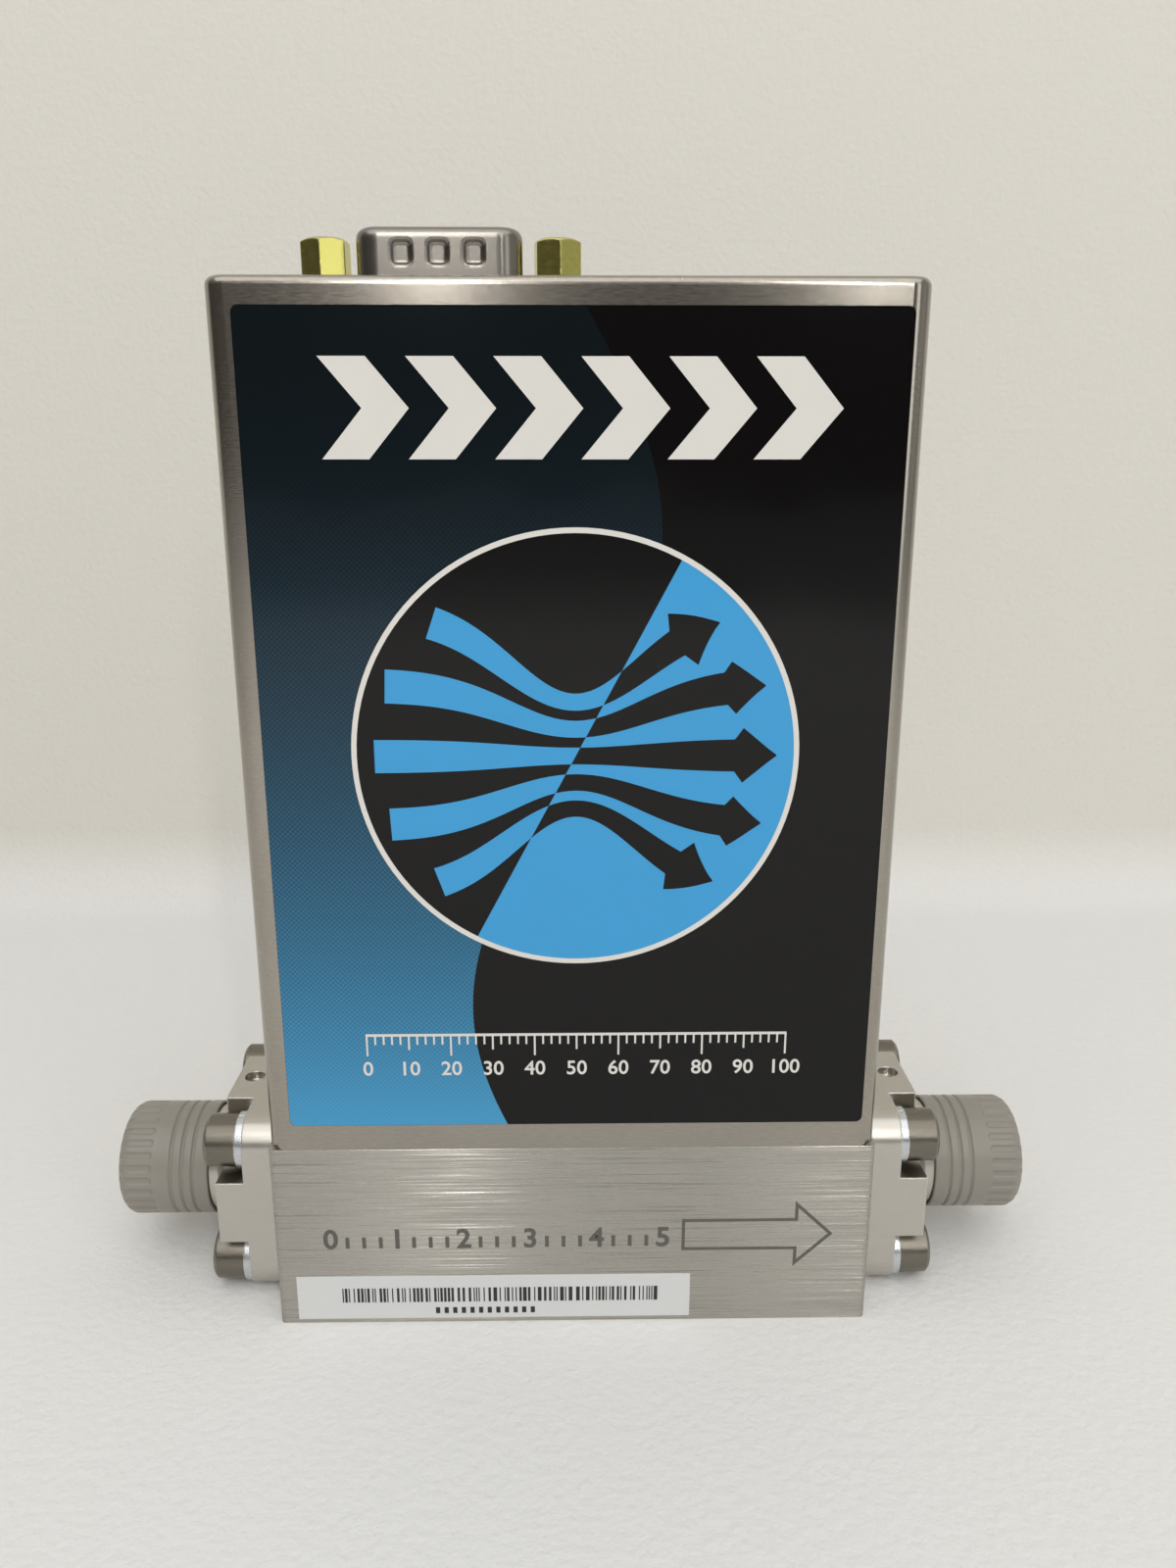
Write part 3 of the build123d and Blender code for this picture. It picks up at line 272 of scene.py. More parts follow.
def mouldedSkinGroup():
    tree, given, out = newGroup(
        "mouldedSkin",
        [
            ("Tint", "Color", (0.4, 0.4, 0.4, 1.0)),
            ("Scale", "Float", 900.0),
            ("Mottle", "Float", 0.12),
            ("Roughness", "Float", 0.4),
        ],
        [("Color", "Color"), ("Roughness", "Float"), ("Height", "Float")],
    )
    place = addNode(tree, "ShaderNodeTexCoord")
    fine = noiseNode(tree, place.outputs["Object"], given["Scale"], skinForm["fineDetail"])
    broad = noiseNode(tree, place.outputs["Object"], skinForm["broadScale"], skinForm["broadDetail"])
    level = mathNode(tree, "ADD", swingAround(tree, broad, given["Mottle"]), 1.0)
    feed(tree, out["Color"], vectorNode(tree, "SCALE", given["Tint"], level))
    drift = swingAround(tree, fine, skinForm["drift"])
    feed(tree, out["Roughness"], mathNode(tree, "ADD", given["Roughness"], drift, clamp=True))
    feed(tree, out["Height"], fine)
    return tree


filmForm = {"scale": 60.0, "detail": 1.0, "strength": 0.3, "depth": 0.0005}


def filmRippleGroup():
    tree, given, out = newGroup(
        "filmRipple",
        [("Strength", "Float", filmForm["strength"])],
        [("Normal", "Vector")],
    )
    place = addNode(tree, "ShaderNodeTexCoord")
    ripple = noiseNode(tree, place.outputs["Object"], filmForm["scale"], filmForm["detail"])
    feed(tree, out["Normal"], bumpFrom(tree, ripple, given["Strength"], filmForm["depth"]))
    return tree


brushedGrain = brushedGrainGroup()
paintedEdgeHighlight = edgeWearGroup()
glintSpeckle = speckleGroup()
mouldedSkin = mouldedSkinGroup()
filmRipple = filmRippleGroup()
surface = {"grainDepth": 0.00002, "edgeBreak": 0.6, "brushTurn": 0.25}


def steelMaterial(name, look):
    material, tree, shader = newMaterial(name, None, None, 1.0)
    if "brushed" in look:
        shader.inputs["Anisotropic"].default_value = look["brushed"]
        shader.inputs["Anisotropic Rotation"].default_value = surface["brushTurn"]
        tangent = addNode(tree, "ShaderNodeTangent", direction_type="RADIAL", axis="Z")
        tree.links.new(tangent.outputs[0], shader.inputs["Tangent"])
    grain = useGroup(tree, brushedGrain, {
        "Tint": (*look["tint"], 1.0), "Along": look["along"], "Across": look["across"],
        "Contrast": look["contrast"], "Mottle": look["mottle"],
        "Roughness": look["roughness"], "Spread": look["spread"], "Lean": look.get("lean", 0.0),
    })
    # the edge mask paints a highlight onto turned edges
    edgeLit = useGroup(tree, paintedEdgeHighlight, {"Radius": look["edge"], "Break": surface["edgeBreak"]})
    # the specks paint small glints into the colour
    glints = useGroup(tree, glintSpeckle, {"Scale": look["speckScale"], "Amount": look["specks"]})
    # the painted edge highlight and the painted glints lift the colour toward a pale shine tint
    paintedShine = mathNode(tree, "MAXIMUM", mathNode(tree, "MULTIPLY", edgeLit["Mask"], look["edgeShine"]), glints["Mask"])
    feed(tree, shader.inputs["Base Color"], mixColor(tree, paintedShine, grain["Color"], look["paintedShine"]))
    feed(tree, shader.inputs["Roughness"], grain["Roughness"])
    normal = bumpFrom(tree, grain["Height"], look["bump"], surface["grainDepth"], edgeLit["Normal"])
    if "lean" in look:
        normal = vectorNode(tree, "NORMALIZE", vectorNode(tree, "ADD", normal, grain["Lean"]))
    feed(tree, shader.inputs["Normal"], normal)
    return material


def plasticMaterial(name, look):
    material, tree, shader = newMaterial(name, None, None, 0.0)
    skin = useGroup(tree, mouldedSkin, {
        "Tint": (*look["tint"], 1.0), "Scale": look["grain"], "Mottle": look["mottle"],
        "Roughness": look["roughness"],
    })
    feed(tree, shader.inputs["Base Color"], skin["Color"])
    feed(tree, shader.inputs["Roughness"], skin["Roughness"])
    feed(tree, shader.inputs["Normal"], bumpFrom(tree, skin["Height"], look["bump"], surface["grainDepth"]))
    return material


# each finish sets how strongly a highlight is painted on its edges, how pale that painted highlight and the painted
# glints are, and how many glints it has
plainSteel = {"edge": 0.0002, "edgeShine": 0.5, "speckScale": 2600.0, "specks": 0.02, "bump": 0.3}
finishes = {
    "case": {
        "tint": (0.37, 0.342, 0.30), "paintedShine": (0.90, 0.87, 0.80), "along": 900.0, "across": 4200.0,
        "contrast": 0.45, "mottle": 0.25, "roughness": 0.19, "spread": 0.10, "edge": 0.0001,
        "edgeShine": 0.15, "specks": 0.16, "bump": 0.25, "brushed": 0.5,
    },
    "body": {
        "tint": (0.455, 0.435, 0.398), "paintedShine": (0.93, 0.90, 0.84), "along": 45.0, "across": 4200.0,
        "contrast": 0.32, "mottle": 0.12, "roughness": 0.27, "spread": 0.12,
        "edgeShine": 0.4, "speckScale": 2200.0, "specks": 0.04, "bump": 0.4, "brushed": 1.0, "lean": 2.6,
    },
    "fitting": {
        "tint": (0.56, 0.535, 0.49), "paintedShine": (0.97, 0.95, 0.90), "along": 400.0, "across": 2600.0,
        "contrast": 0.12, "mottle": 0.10, "roughness": 0.30, "spread": 0.12,
        "edge": 0.0003, "edgeShine": 0.6, "speckScale": 2200.0, "bump": 0.2,
    },
    "screw": {
        "tint": (0.205, 0.188, 0.158), "paintedShine": (0.70, 0.68, 0.62), "along": 700.0, "across": 2400.0,
        "contrast": 0.25, "mottle": 0.3, "roughness": 0.30, "spread": 0.2,
        "edge": 0.0003, "edgeShine": 0.6, "speckScale": 3000.0, "specks": 0.03,
    },
    "washer": {
        "tint": (0.62, 0.645, 0.67), "paintedShine": (0.98, 0.99, 1.0), "along": 900.0, "across": 2400.0,
        "contrast": 0.4, "mottle": 0.4, "roughness": 0.27, "spread": 0.25, "edgeShine": 0.6, "specks": 0.1, "bump": 0.5,
    },
    "shell": {
        "tint": (0.27, 0.252, 0.228), "paintedShine": (0.86, 0.84, 0.80), "along": 300.0, "across": 900.0,
        "contrast": 0.10, "mottle": 0.25, "roughness": 0.26, "spread": 0.06, "specks": 0.03, "bump": 0.15,
    },
    "yellowZinc": {
        "tint": (0.62, 0.58, 0.17), "paintedShine": (0.93, 0.90, 0.55), "along": 500.0, "across": 2200.0,
        "contrast": 0.3, "mottle": 0.45, "roughness": 0.2, "spread": 0.2, "specks": 0.05, "bump": 0.4,
    },
    "darkSteel": {
        "tint": (0.50, 0.49, 0.47), "paintedShine": (0.75, 0.74, 0.72), "along": 300.0, "across": 2400.0,
        "contrast": 0.2, "mottle": 0.2, "roughness": 0.38, "spread": 0.15, "edge": 0.0003,
    },
    "gold": {
        "tint": (0.85, 0.62, 0.24), "paintedShine": (0.98, 0.86, 0.55), "along": 900.0, "across": 2400.0,
        "contrast": 0.1, "mottle": 0.15, "roughness": 0.2, "spread": 0.1, "edge": 0.0001, "edgeShine": 0.3,
        "specks": 0.0, "bump": 0.1,
    },
    "copper": {
        "tint": (0.62, 0.26, 0.12), "paintedShine": (0.9, 0.55, 0.35), "along": 300.0, "across": 4000.0,
        "contrast": 0.5, "mottle": 0.2, "roughness": 0.35, "spread": 0.2, "edge": 0.0001, "edgeShine": 0.2,
        "specks": 0.0, "bump": 0.5,
    },
}
plastics = {
    "cap": {"tint": (0.285, 0.265, 0.232), "grain": 1600.0, "mottle": 0.12, "roughness": 0.34, "bump": 0.2},
    "insulator": {"tint": (0.015, 0.015, 0.016), "grain": 2000.0, "mottle": 0.1, "roughness": 0.42, "bump": 0.2},
    "board": {"tint": (0.012, 0.09, 0.035), "grain": 700.0, "mottle": 0.25, "roughness": 0.35, "bump": 0.15},
    "chip": {"tint": (0.02, 0.02, 0.022), "grain": 3000.0, "mottle": 0.1, "roughness": 0.6, "bump": 0.4},
    "sleeve": {"tint": (0.02, 0.035, 0.14), "grain": 500.0, "mottle": 0.1, "roughness": 0.25, "bump": 0.1},
    "header": {"tint": (0.68, 0.64, 0.52), "grain": 1500.0, "mottle": 0.1, "roughness": 0.5, "bump": 0.2},
    "rubber": {"tint": (0.02, 0.018, 0.018), "grain": 2500.0, "mottle": 0.1, "roughness": 0.7, "bump": 0.3},
    "paper": {"tint": (0.69, 0.70, 0.705), "grain": 4000.0, "mottle": 0.04, "roughness": 0.55, "bump": 0.15},
    "lead": {"tint": (0.30, 0.03, 0.02), "grain": 1500.0, "mottle": 0.1, "roughness": 0.4, "bump": 0.1},
}
steel = {name: steelMaterial(name + "Steel", {**plainSteel, **look}) for name, look in finishes.items()}
plastic = {name: plasticMaterial(name + "Plastic", look) for name, look in plastics.items()}
finishOfSlot = {
    "body_steel": steel["body"], "case_steel": steel["case"], "fitting_steel": steel["fitting"],
    "screw_steel": steel["screw"], "washer_steel": steel["washer"], "seal_nickel": steel["fitting"],
    "shell_tin": steel["shell"], "yellow_zinc": steel["yellowZinc"], "plunger_steel": steel["darkSteel"],
    "pin_gold": steel["gold"], "winding_copper": steel["copper"], "sensor_aluminium": steel["washer"],
    "cap_plastic": plastic["cap"], "insulator_plastic": plastic["insulator"],
    "board_laminate": plastic["board"], "chip_plastic": plastic["chip"],
    "capacitor_sleeve": plastic["sleeve"], "header_plastic": plastic["header"],
    "seal_rubber": plastic["rubber"], "sticker_paper": plastic["paper"], "label_film": plastic["chip"],
    "lead_sheath": plastic["lead"],
}
slotOf = {part["node"]: part["material_slot"] for part in frame["record"]["subparts"]}
for name, obj in nodes.items():
    obj.data.materials.clear()
    obj.data.materials.append(finishOfSlot[slotOf[name]])
print("materials:", len(bpy.data.materials))

# flat printed and etched shapes, drawn in millimetres on the front: x to the right, z up


def joinPiece(name, mesh, material, body="controller"):
    obj = bpy.data.objects.new(name, mesh)
    bpy.context.scene.collection.objects.link(obj)
    mesh.materials.append(material)
    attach(obj, body)
    return obj


def platePiece(name, outlines, back, face, material):
    mesh = bpy.data.meshes.new(name)
    shape = bmesh.new()
    for outline in outlines:
        shape.faces.new([shape.verts.new((x * mm, back * mm, z * mm)) for x, z in outline])
    bmesh.ops.remove_doubles(shape, verts=shape.verts, dist=weldGap)
    shape.normal_update()
    bmesh.ops.reverse_faces(shape, faces=[f for f in shape.faces if f.normal.y > 0])
    bmesh.ops.triangulate(shape, faces=[f for f in shape.faces if len(f.verts) > 4])
    grown = bmesh.ops.extrude_face_region(shape, geom=list(shape.faces))
    moved = [part for part in grown["geom"] if isinstance(part, bmesh.types.BMVert)]
    bmesh.ops.translate(shape, vec=(0, (face - back) * mm, 0), verts=moved)
    bmesh.ops.recalc_face_normals(shape, faces=shape.faces)
    shape.to_mesh(mesh)
    shape.free()
    return joinPiece(name, mesh, material)


def arcPoints(centre, radius, start, end, steps):
    turns = [math.radians(start + (end - start) * i / steps) for i in range(steps + 1)]
    return [(centre[0] + radius * math.cos(a), centre[1] + radius * math.sin(a)) for a in turns]


def roundedBox(left, bottom, width, height, radius):
    right, top = left + width - radius, bottom + height - radius
    corners = [((right, bottom + radius), -90), ((right, top), 0), ((left + radius, top), 90),
               ((left + radius, bottom + radius), 180)]
    return [point for centre, start in corners for point in arcPoints(centre, radius, start, start + 90, 6)]


def barShape(left, bottom, width, height):
    return [(left, bottom), (left + width, bottom), (left + width, bottom + height), (left, bottom + height)]


def bandBetween(outer, inner):
    count = len(outer)
    return [[outer[i], outer[(i + 1) % count], inner[(i + 1) % count], inner[i]] for i in range(count)]


def insetShape(outline, inset):
    moved = []
    for i, point in enumerate(outline):
        here = Vector(point)
        before = (here - Vector(outline[i - 1])).normalized()
        after = (Vector(outline[(i + 1) % len(outline)]) - here).normalized()
        inward = (Vector((-before.y, before.x)) + Vector((-after.y, after.x))).normalized()
        moved.append(tuple(here + inward * (inset / inward.dot(Vector((-before.y, before.x))))))
    return moved


def ribbonShape(path, widths):
    left, right = [], []
    for i, point in enumerate(path):
        ahead = Vector(path[min(i + 1, len(path) - 1)]) - Vector(path[max(i - 1, 0)])
        side = Vector((-ahead.y, ahead.x)).normalized() * widths[i] / 2
        left.append(tuple(Vector(point) + side))
        right.append(tuple(Vector(point) - side))
    return left + right[::-1]


def keepSide(outline, origin, normal):
    kept = []
    for i, point in enumerate(outline):
        after = outline[(i + 1) % len(outline)]
        here = (Vector(point) - Vector(origin)).dot(Vector(normal))
        there = (Vector(after) - Vector(origin)).dot(Vector(normal))
        if here >= 0:
            kept.append(point)
        if (here > 0 > there) or (here < 0 < there):
            kept.append(tuple(Vector(point).lerp(Vector(after), here / (here - there))))
    return kept


def numberPiece(name, marks, size, weight, back, face, material):
    shape = bmesh.new()
    for text, x, z in marks:
        curve = bpy.data.curves.new(name, "FONT")
        curve.body = text
        curve.size = size * mm
        curve.align_x = "CENTER"
        curve.extrude = abs(face - back) * mm / 2
        curve.offset = weight * mm
        curve.resolution_u = 4
        writer = bpy.data.objects.new(name, curve)
        glyphs = bpy.data.meshes.new_from_object(writer)
        turn = Matrix.Translation((x * mm, (back + face) / 2 * mm, z * mm)) @ Matrix.Rotation(math.pi / 2, 4, "X")
        glyphs.transform(turn)
        shape.from_mesh(glyphs)
        bpy.data.objects.remove(writer)
        bpy.data.curves.remove(curve)
        bpy.data.meshes.remove(glyphs)
    mesh = bpy.data.meshes.new(name)
    shape.to_mesh(mesh)
    shape.free()
    return joinPiece(name, mesh, material)


def inkMaterial(name, color, roughness):
    material, tree, shader = newMaterial(name, None, roughness, 0.0)
    shader.inputs["Specular IOR Level"].default_value = labelArt["shine"]
    skin = useGroup(tree, mouldedSkin, {
        "Tint": (*color, 1.0), "Scale": labelArt["inkGrain"], "Mottle": labelArt["inkMottle"], "Roughness": roughness,
    })
    feed(tree, shader.inputs["Base Color"], skin["Color"])
    return material


labelLow, labelHigh = boxOf("front_label")
labelArt = {
    "film": 0.080, "field": 0.095, "disc": 0.112, "blue": 0.130, "top": 0.148, "corner": 0.8,
    "black": (0.0040, 0.0036, 0.0038), "white": (0.74, 0.725, 0.69), "lightBlue": (0.055, 0.35, 0.70),
    "navy": (0.0050, 0.0085, 0.0105), "sky": (0.066, 0.33, 0.60), "gloss": 0.09, "shine": 0.26,
    "whiteGloss": 0.16, "blueGloss": 0.12, "blackGloss": 0.10, "inkGrain": 700.0, "inkMottle": 0.05,
    "screenPitch": 0.00042, "screenReach": 1.12, "fadePower": 2.9,
}
fieldWave = {"middle": -1.0, "swing": 11.0, "turns": 0.85, "phase": 0.7, "steps": 72, "margin": 0.03}
ring = {
    "centre": (0.5, 76.0), "radius": 25.5, "line": 0.6, "steps": 120, "splitTurn": 62.0,
    "lines": 5, "pitch": 8.2, "neck": 0.62, "neckReach": 11.0, "width": 3.9, "thin": 0.5,
    "inside": 2.6, "arrow": 4.4, "arrowWidth": 1.9, "arrowPoint": 0.02, "pathSteps": 48,
}
chevrons = {"count": 6, "left": -26.4, "bottom": 108.6, "width": 5.0, "point": 4.4, "height": 10.4, "pitch": 9.2}
scaleMarks = {
    "left": -25.0, "length": 51.0, "baseline": 41.0, "line": 0.32, "divisions": 50, "tick": 0.22,
    "short": 1.1, "middle": 1.8, "long": 2.6, "middleEvery": 5, "longEvery": 10, "perTick": 2,
    "numberDrop": 5.2, "numberSize": 2.6, "numberWeight": 0.03,
}


def labelFilmMaterial(name, color, fade):
    material, tree, shader = newMaterial(name, color, labelArt["gloss"], 0.0)
    shader.inputs["Specular IOR Level"].default_value = labelArt["shine"]
    rippled = useGroup(tree, filmRipple, {})
    feed(tree, shader.inputs["Normal"], rippled["Normal"])
    if fade:
        axes = splitAxes(tree, addNode(tree, "ShaderNodeTexCoord").outputs["Object"])
        level = mapRange(tree, axes[2], labelLow.z * mm, labelHigh.z * mm, 1.0, 0.0)
        level = mathNode(tree, "POWER", level, labelArt["fadePower"])
        pitch = 2 * math.pi / labelArt["screenPitch"] / math.sqrt(2)
        ways = [mathNode(tree, operation, axes[0], axes[2]) for operation in ("ADD", "SUBTRACT")]
        waves = [mathNode(tree, "SINE", mathNode(tree, "MULTIPLY", way, pitch)) for way in ways]
        screen = mapRange(tree, mathNode(tree, "ADD", *waves), -2.0, 2.0, -0.5, 0.5)
        depth = mathNode(tree, "MULTIPLY", level, mathNode(tree, "SUBTRACT", labelArt["screenReach"], level))
        dotted = mathNode(tree, "ADD", level, mathNode(tree, "MULTIPLY", screen, depth), clamp=True)
        feed(tree, shader.inputs["Base Color"], mixColor(tree, dotted, labelArt["navy"], labelArt["sky"]))
    return material


def streamlines():
    shapes = []
    centreX, centreZ = ring["centre"]
    for index in range(ring["lines"]):
        offset = (index - (ring["lines"] - 1) / 2) * ring["pitch"]
        reach = math.sqrt((ring["radius"] - ring["inside"]) ** 2 - offset ** 2)
        path, widths = [], []
        for i in range(ring["pathSteps"] + 1):
            x = -reach + 2 * reach * i / ring["pathSteps"]
            squeeze = math.exp(-(x / ring["neckReach"]) ** 2)
            path.append((centreX + x, centreZ + offset * (1 - ring["neck"] * squeeze)))
            head = (reach - x) / ring["arrow"]
            plain = ring["width"] * (1 - ring["thin"] * squeeze)
            widths.append(plain if head > 1 else ring["width"] * ring["arrowWidth"] * max(head, ring["arrowPoint"]))
        shapes.append(ribbonShape(path, widths))
    return shapes


def buildLabel():
    face = labelHigh.y
    art = labelArt
    film = labelFilmMaterial("labelBlackFilm", art["black"], False)
    fade = labelFilmMaterial("labelFadeInk", None, True)
    white = inkMaterial("labelWhiteInk", art["white"], art["whiteGloss"])
    blue = inkMaterial("labelBlueInk", art["lightBlue"], art["blueGloss"])
    black = inkMaterial("labelBlackInk", art["black"], art["blackGloss"])
    size = labelHigh - labelLow
    sheet = roundedBox(labelLow.x, labelLow.z, size.x, size.z, art["corner"])
    piece = platePiece("labelFilm", [sheet], face, face - art["film"], film)
    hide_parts("front_label")
    lower, upper = labelLow.z + fieldWave["margin"], labelHigh.z - fieldWave["margin"]
    border = []
    for i in range(fieldWave["steps"] + 1):
        rise = i / fieldWave["steps"]
        turn = 2 * math.pi * fieldWave["turns"] * rise + fieldWave["phase"]
        border.append((fieldWave["middle"] - fieldWave["swing"] * math.sin(turn), lower + (upper - lower) * rise))
    inset = labelLow.x + fieldWave["margin"]
    corner = art["corner"]
    field = border + arcPoints((inset + corner, upper - corner), corner, 90, 180, 6)
    field += arcPoints((inset + corner, lower + corner), corner, 180, 270, 6)
    platePiece("labelFadeField", [field], face - art["film"], face - art["field"], fade)
    # ring with flow lines that change colour across a slanted split
    circle = arcPoints(ring["centre"], ring["radius"], 0, 360, ring["steps"])[:-1]
    keyline = arcPoints(ring["centre"], ring["radius"] - ring["line"], 0, 360, ring["steps"])[:-1]
    turn = math.radians(ring["splitTurn"])
    lowerRight, upperLeft = (math.sin(turn), -math.cos(turn)), (-math.sin(turn), math.cos(turn))
    flows = streamlines()
    blueShapes = [keepSide(circle, ring["centre"], lowerRight)]
    blueShapes += [keepSide(flow, ring["centre"], upperLeft) for flow in flows]
    blackShapes = [keepSide(flow, ring["centre"], lowerRight) for flow in flows]
    platePiece("labelDisc", [circle], face - art["film"], face - art["disc"], black)
    platePiece("labelBlueShapes", [part for part in blueShapes if len(part) > 2], face - art["film"],
               face - art["blue"], blue)
    platePiece("labelBlackFlows", [part for part in blackShapes if len(part) > 2], face - art["film"],
               face - art["top"], black)
    whites = bandBetween(circle, keyline)
    for i in range(chevrons["count"]):
        left = chevrons["left"] + i * chevrons["pitch"]
        right, point = left + chevrons["width"], chevrons["point"]
        bottom, top = chevrons["bottom"], chevrons["bottom"] + chevrons["height"]
        middle = (bottom + top) / 2
        whites.append([(left, bottom), (right, bottom), (right + point, middle), (right, top), (left, top),
                       (left + point, middle)])
    marks = scaleMarks
    whites.append(barShape(marks["left"] - marks["tick"] / 2, marks["baseline"], marks["length"] + marks["tick"],
                           marks["line"]))
    numbers = []
    for i in range(marks["divisions"] + 1):
        x = marks["left"] + marks["length"] * i / marks["divisions"]
        numbered = i % marks["middleEvery"] == 0
        drop = marks["long"] if i % marks["longEvery"] == 0 else marks["middle"] if numbered else marks["short"]
        whites.append(barShape(x - marks["tick"] / 2, marks["baseline"] - drop, marks["tick"], drop))
        if numbered:
            numbers.append((str(marks["perTick"] * i), x, marks["baseline"] - marks["numberDrop"]))
    platePiece("labelWhiteShapes", whites, face - art["film"], face - art["top"], white)
    numberPiece("labelNumbers", numbers, marks["numberSize"], marks["numberWeight"], face - art["film"],
                face - art["top"], white)


buildLabel()
print("label built")

# marks etched into the body and the bar strip on its sticker
bodyFace = boxOf("flow_body")[0].y
etched = {
    "depth": 0.02, "color": (0.155, 0.148, 0.135), "roughness": 0.62, "metal": 0.6,
    "line": 0.42, "tail": 13.9, "neck": 28.35, "tip": 33.3,
    "middle": 12.75, "halfShaft": 2.3, "halfHead": 4.8, "left": -31.0, "bottom": 11.15, "pitch": 8.5,
    "count": 6, "numberSize": 3.9, "numberWeight": 0.09, "tick": 0.5, "tickHeight": 1.6, "ticksBetween": 3,
}
strip = {
    "left": -29.9, "right": 11.0, "bottom": 3.1, "top": 5.2, "thinnest": 0.16, "thickest": 0.5, "seed": 7,
    "bars": (1, 1, 1, 2, 2, 3), "gaps": (1, 1, 2, 2, 3),
    "ink": (0.018, 0.018, 0.018), "roughness": 0.5, "thickness": 0.02,
    "dash": 0.55, "dashHeight": 0.9, "dashLeft": -17.9, "dashBottom": 1.35, "dashPitch": 1.12, "dashCount": 12,
}


def buildMarks():
    material = newMaterial("etchedGrey", etched["color"], etched["roughness"], etched["metal"])[0]
    low, high = etched["middle"] - etched["halfShaft"], etched["middle"] + etched["halfShaft"]
    headLow, headHigh = etched["middle"] - etched["halfHead"], etched["middle"] + etched["halfHead"]
    arrow = [(etched["tail"], low), (etched["neck"], low), (etched["neck"], headLow),
             (etched["tip"], etched["middle"]), (etched["neck"], headHigh), (etched["neck"], high),
             (etched["tail"], high)]
    shapes = bandBetween(arrow, insetShape(arrow, etched["line"]))
    numbers = []
    for i in range(etched["count"]):
        x = etched["left"] + i * etched["pitch"]
        numbers.append((str(i), x, etched["bottom"]))
        for j in range(etched["ticksBetween"] if i < etched["count"] - 1 else 0):
            at = x + etched["pitch"] * (j + 1) / (etched["ticksBetween"] + 1)
            shapes.append(barShape(at - etched["tick"] / 2, etched["bottom"], etched["tick"], etched["tickHeight"]))
    platePiece("etchedShapes", shapes, bodyFace, bodyFace - etched["depth"], material)
    numberPiece("etchedNumbers", numbers, etched["numberSize"], etched["numberWeight"], bodyFace,
                bodyFace - etched["depth"], material)
    ink = newMaterial("stripInk", strip["ink"], strip["roughness"], 0.0)[0]
    paperFace = boxOf("body_sticker")[0].y
    chance = random.Random(strip["seed"])
    bars, x = [], strip["left"]
    while x < strip["right"]:
        width = chance.choice(strip["bars"]) * strip["thinnest"]
        bars.append(barShape(x, strip["bottom"], min(width, strip["thickest"]), strip["top"] - strip["bottom"]))
        x += width + chance.choice(strip["gaps"]) * strip["thinnest"]
    for i in range(strip["dashCount"]):
        bars.append(barShape(strip["dashLeft"] + i * strip["dashPitch"], strip["dashBottom"], strip["dash"],
                             strip["dashHeight"]))
    platePiece("stripBars", bars, paperFace, paperFace - strip["thickness"], ink)


buildMarks()
print("etched marks and strip built")

# turned and pressed pieces, built as rows of points and joined row to row


def gridPiece(name, rows, material, body="controller", smooth=True, more=None):
    shape = bmesh.new()
    made = [[shape.verts.new(tuple(v * mm for v in point)) for point in row] for row in rows]
    for first, second in zip(made, made[1:]):
        for i in range(len(first)):
            j = (i + 1) % len(first)
            shape.faces.new((first[i], first[j], second[j], second[i])).smooth = smooth
    if more:
        more(shape)
    bmesh.ops.remove_doubles(shape, verts=shape.verts, dist=weldGap)
    bmesh.ops.dissolve_degenerate(shape, edges=shape.edges, dist=speckLength)
    bmesh.ops.recalc_face_normals(shape, faces=shape.faces)
    mesh = bpy.data.meshes.new(name)
    shape.to_mesh(mesh)
    shape.free()
    return joinPiece(name, mesh, material, body)


def smoothStep(value):
    value = min(max(value, 0.0), 1.0)
    return value * value * (3 - 2 * value)


# thread caps with rounded grooves and finger flutes, measured from the lip
capForm = {
    "lip": 0.2, "grooves": (2.1, 3.6, 5.1), "grooveHalf": 0.36, "grooveDepth": 0.27, "rim": 12.5, "edge": 1.7,
    "end": 12.75, "foot": 4.1, "domeRadius": 3.5, "bore": 7.22, "boreEnd": 10.4, "throat": 6.62, "throatEnd": 11.4,
    "innerEnd": 12.1, "innerRadius": 5.0, "shoulder": ((-0.05, 0.25), (0.1, -0.05)), "domeStart": 0.35,
    "domeFlare": 0.12, "fluteStart": 7.7, "fluteLead": 0.5, "fluteWidth": 0.95, "fluteDepth": 0.24,
    "fluteFlat": 0.75, "fluteFade": 0.3, "skinMargin": 0.1, "flutes": 28, "stepsPerFlute": 16, "step": 0.1,
    "lipSteps": 6, "edgeSteps": 14, "domeSteps": 8,
}


def capProfile(length, radius):
    form = capForm
    points = [(form["innerEnd"], 0.0), (form["innerEnd"], form["innerRadius"]), (form["throatEnd"], form["throat"]),
              (form["boreEnd"] + form["bore"] - form["throat"], form["throat"]), (form["boreEnd"], form["bore"])]
    lip, wall = form["lip"], radius - form["bore"]
    for i in range(form["lipSteps"] + 1):
        turn = math.radians(-90 + 180 * i / form["lipSteps"])
        points.append((lip * (1 - math.cos(turn)), form["bore"] + wall / 2 + wall / 2 * math.sin(turn)))
    count = round((form["rim"] - form["edge"] - lip) / form["step"])
    for i in range(1, count + 1):
        along = lip + (form["rim"] - form["edge"] - lip) * i / count
        drop = sum(0.5 + 0.5 * math.cos(math.pi * min(abs(along - place) / form["grooveHalf"], 1.0))
                   for place in form["grooves"])
        points.append((along, radius - form["grooveDepth"] * drop))
    for i in range(1, form["edgeSteps"] + 1):
        turn = math.radians(90 * i / form["edgeSteps"])
        back, inward = form["edge"] * (1 - math.sin(turn)), form["edge"] * (1 - math.cos(turn))
        points.append((form["rim"] - back, radius - inward))
    points += [(form["end"] + along, form["foot"] + outward) for along, outward in form["shoulder"]]
    rise = length - form["end"] - form["domeStart"]
    points.append((length - rise, form["domeRadius"] + form["domeFlare"]))
    for i in range(form["domeSteps"] + 1):
        turn = math.radians(90 * i / form["domeSteps"])
        points.append((length - rise + rise * math.sin(turn), form["domeRadius"] * math.cos(turn)))
    return points


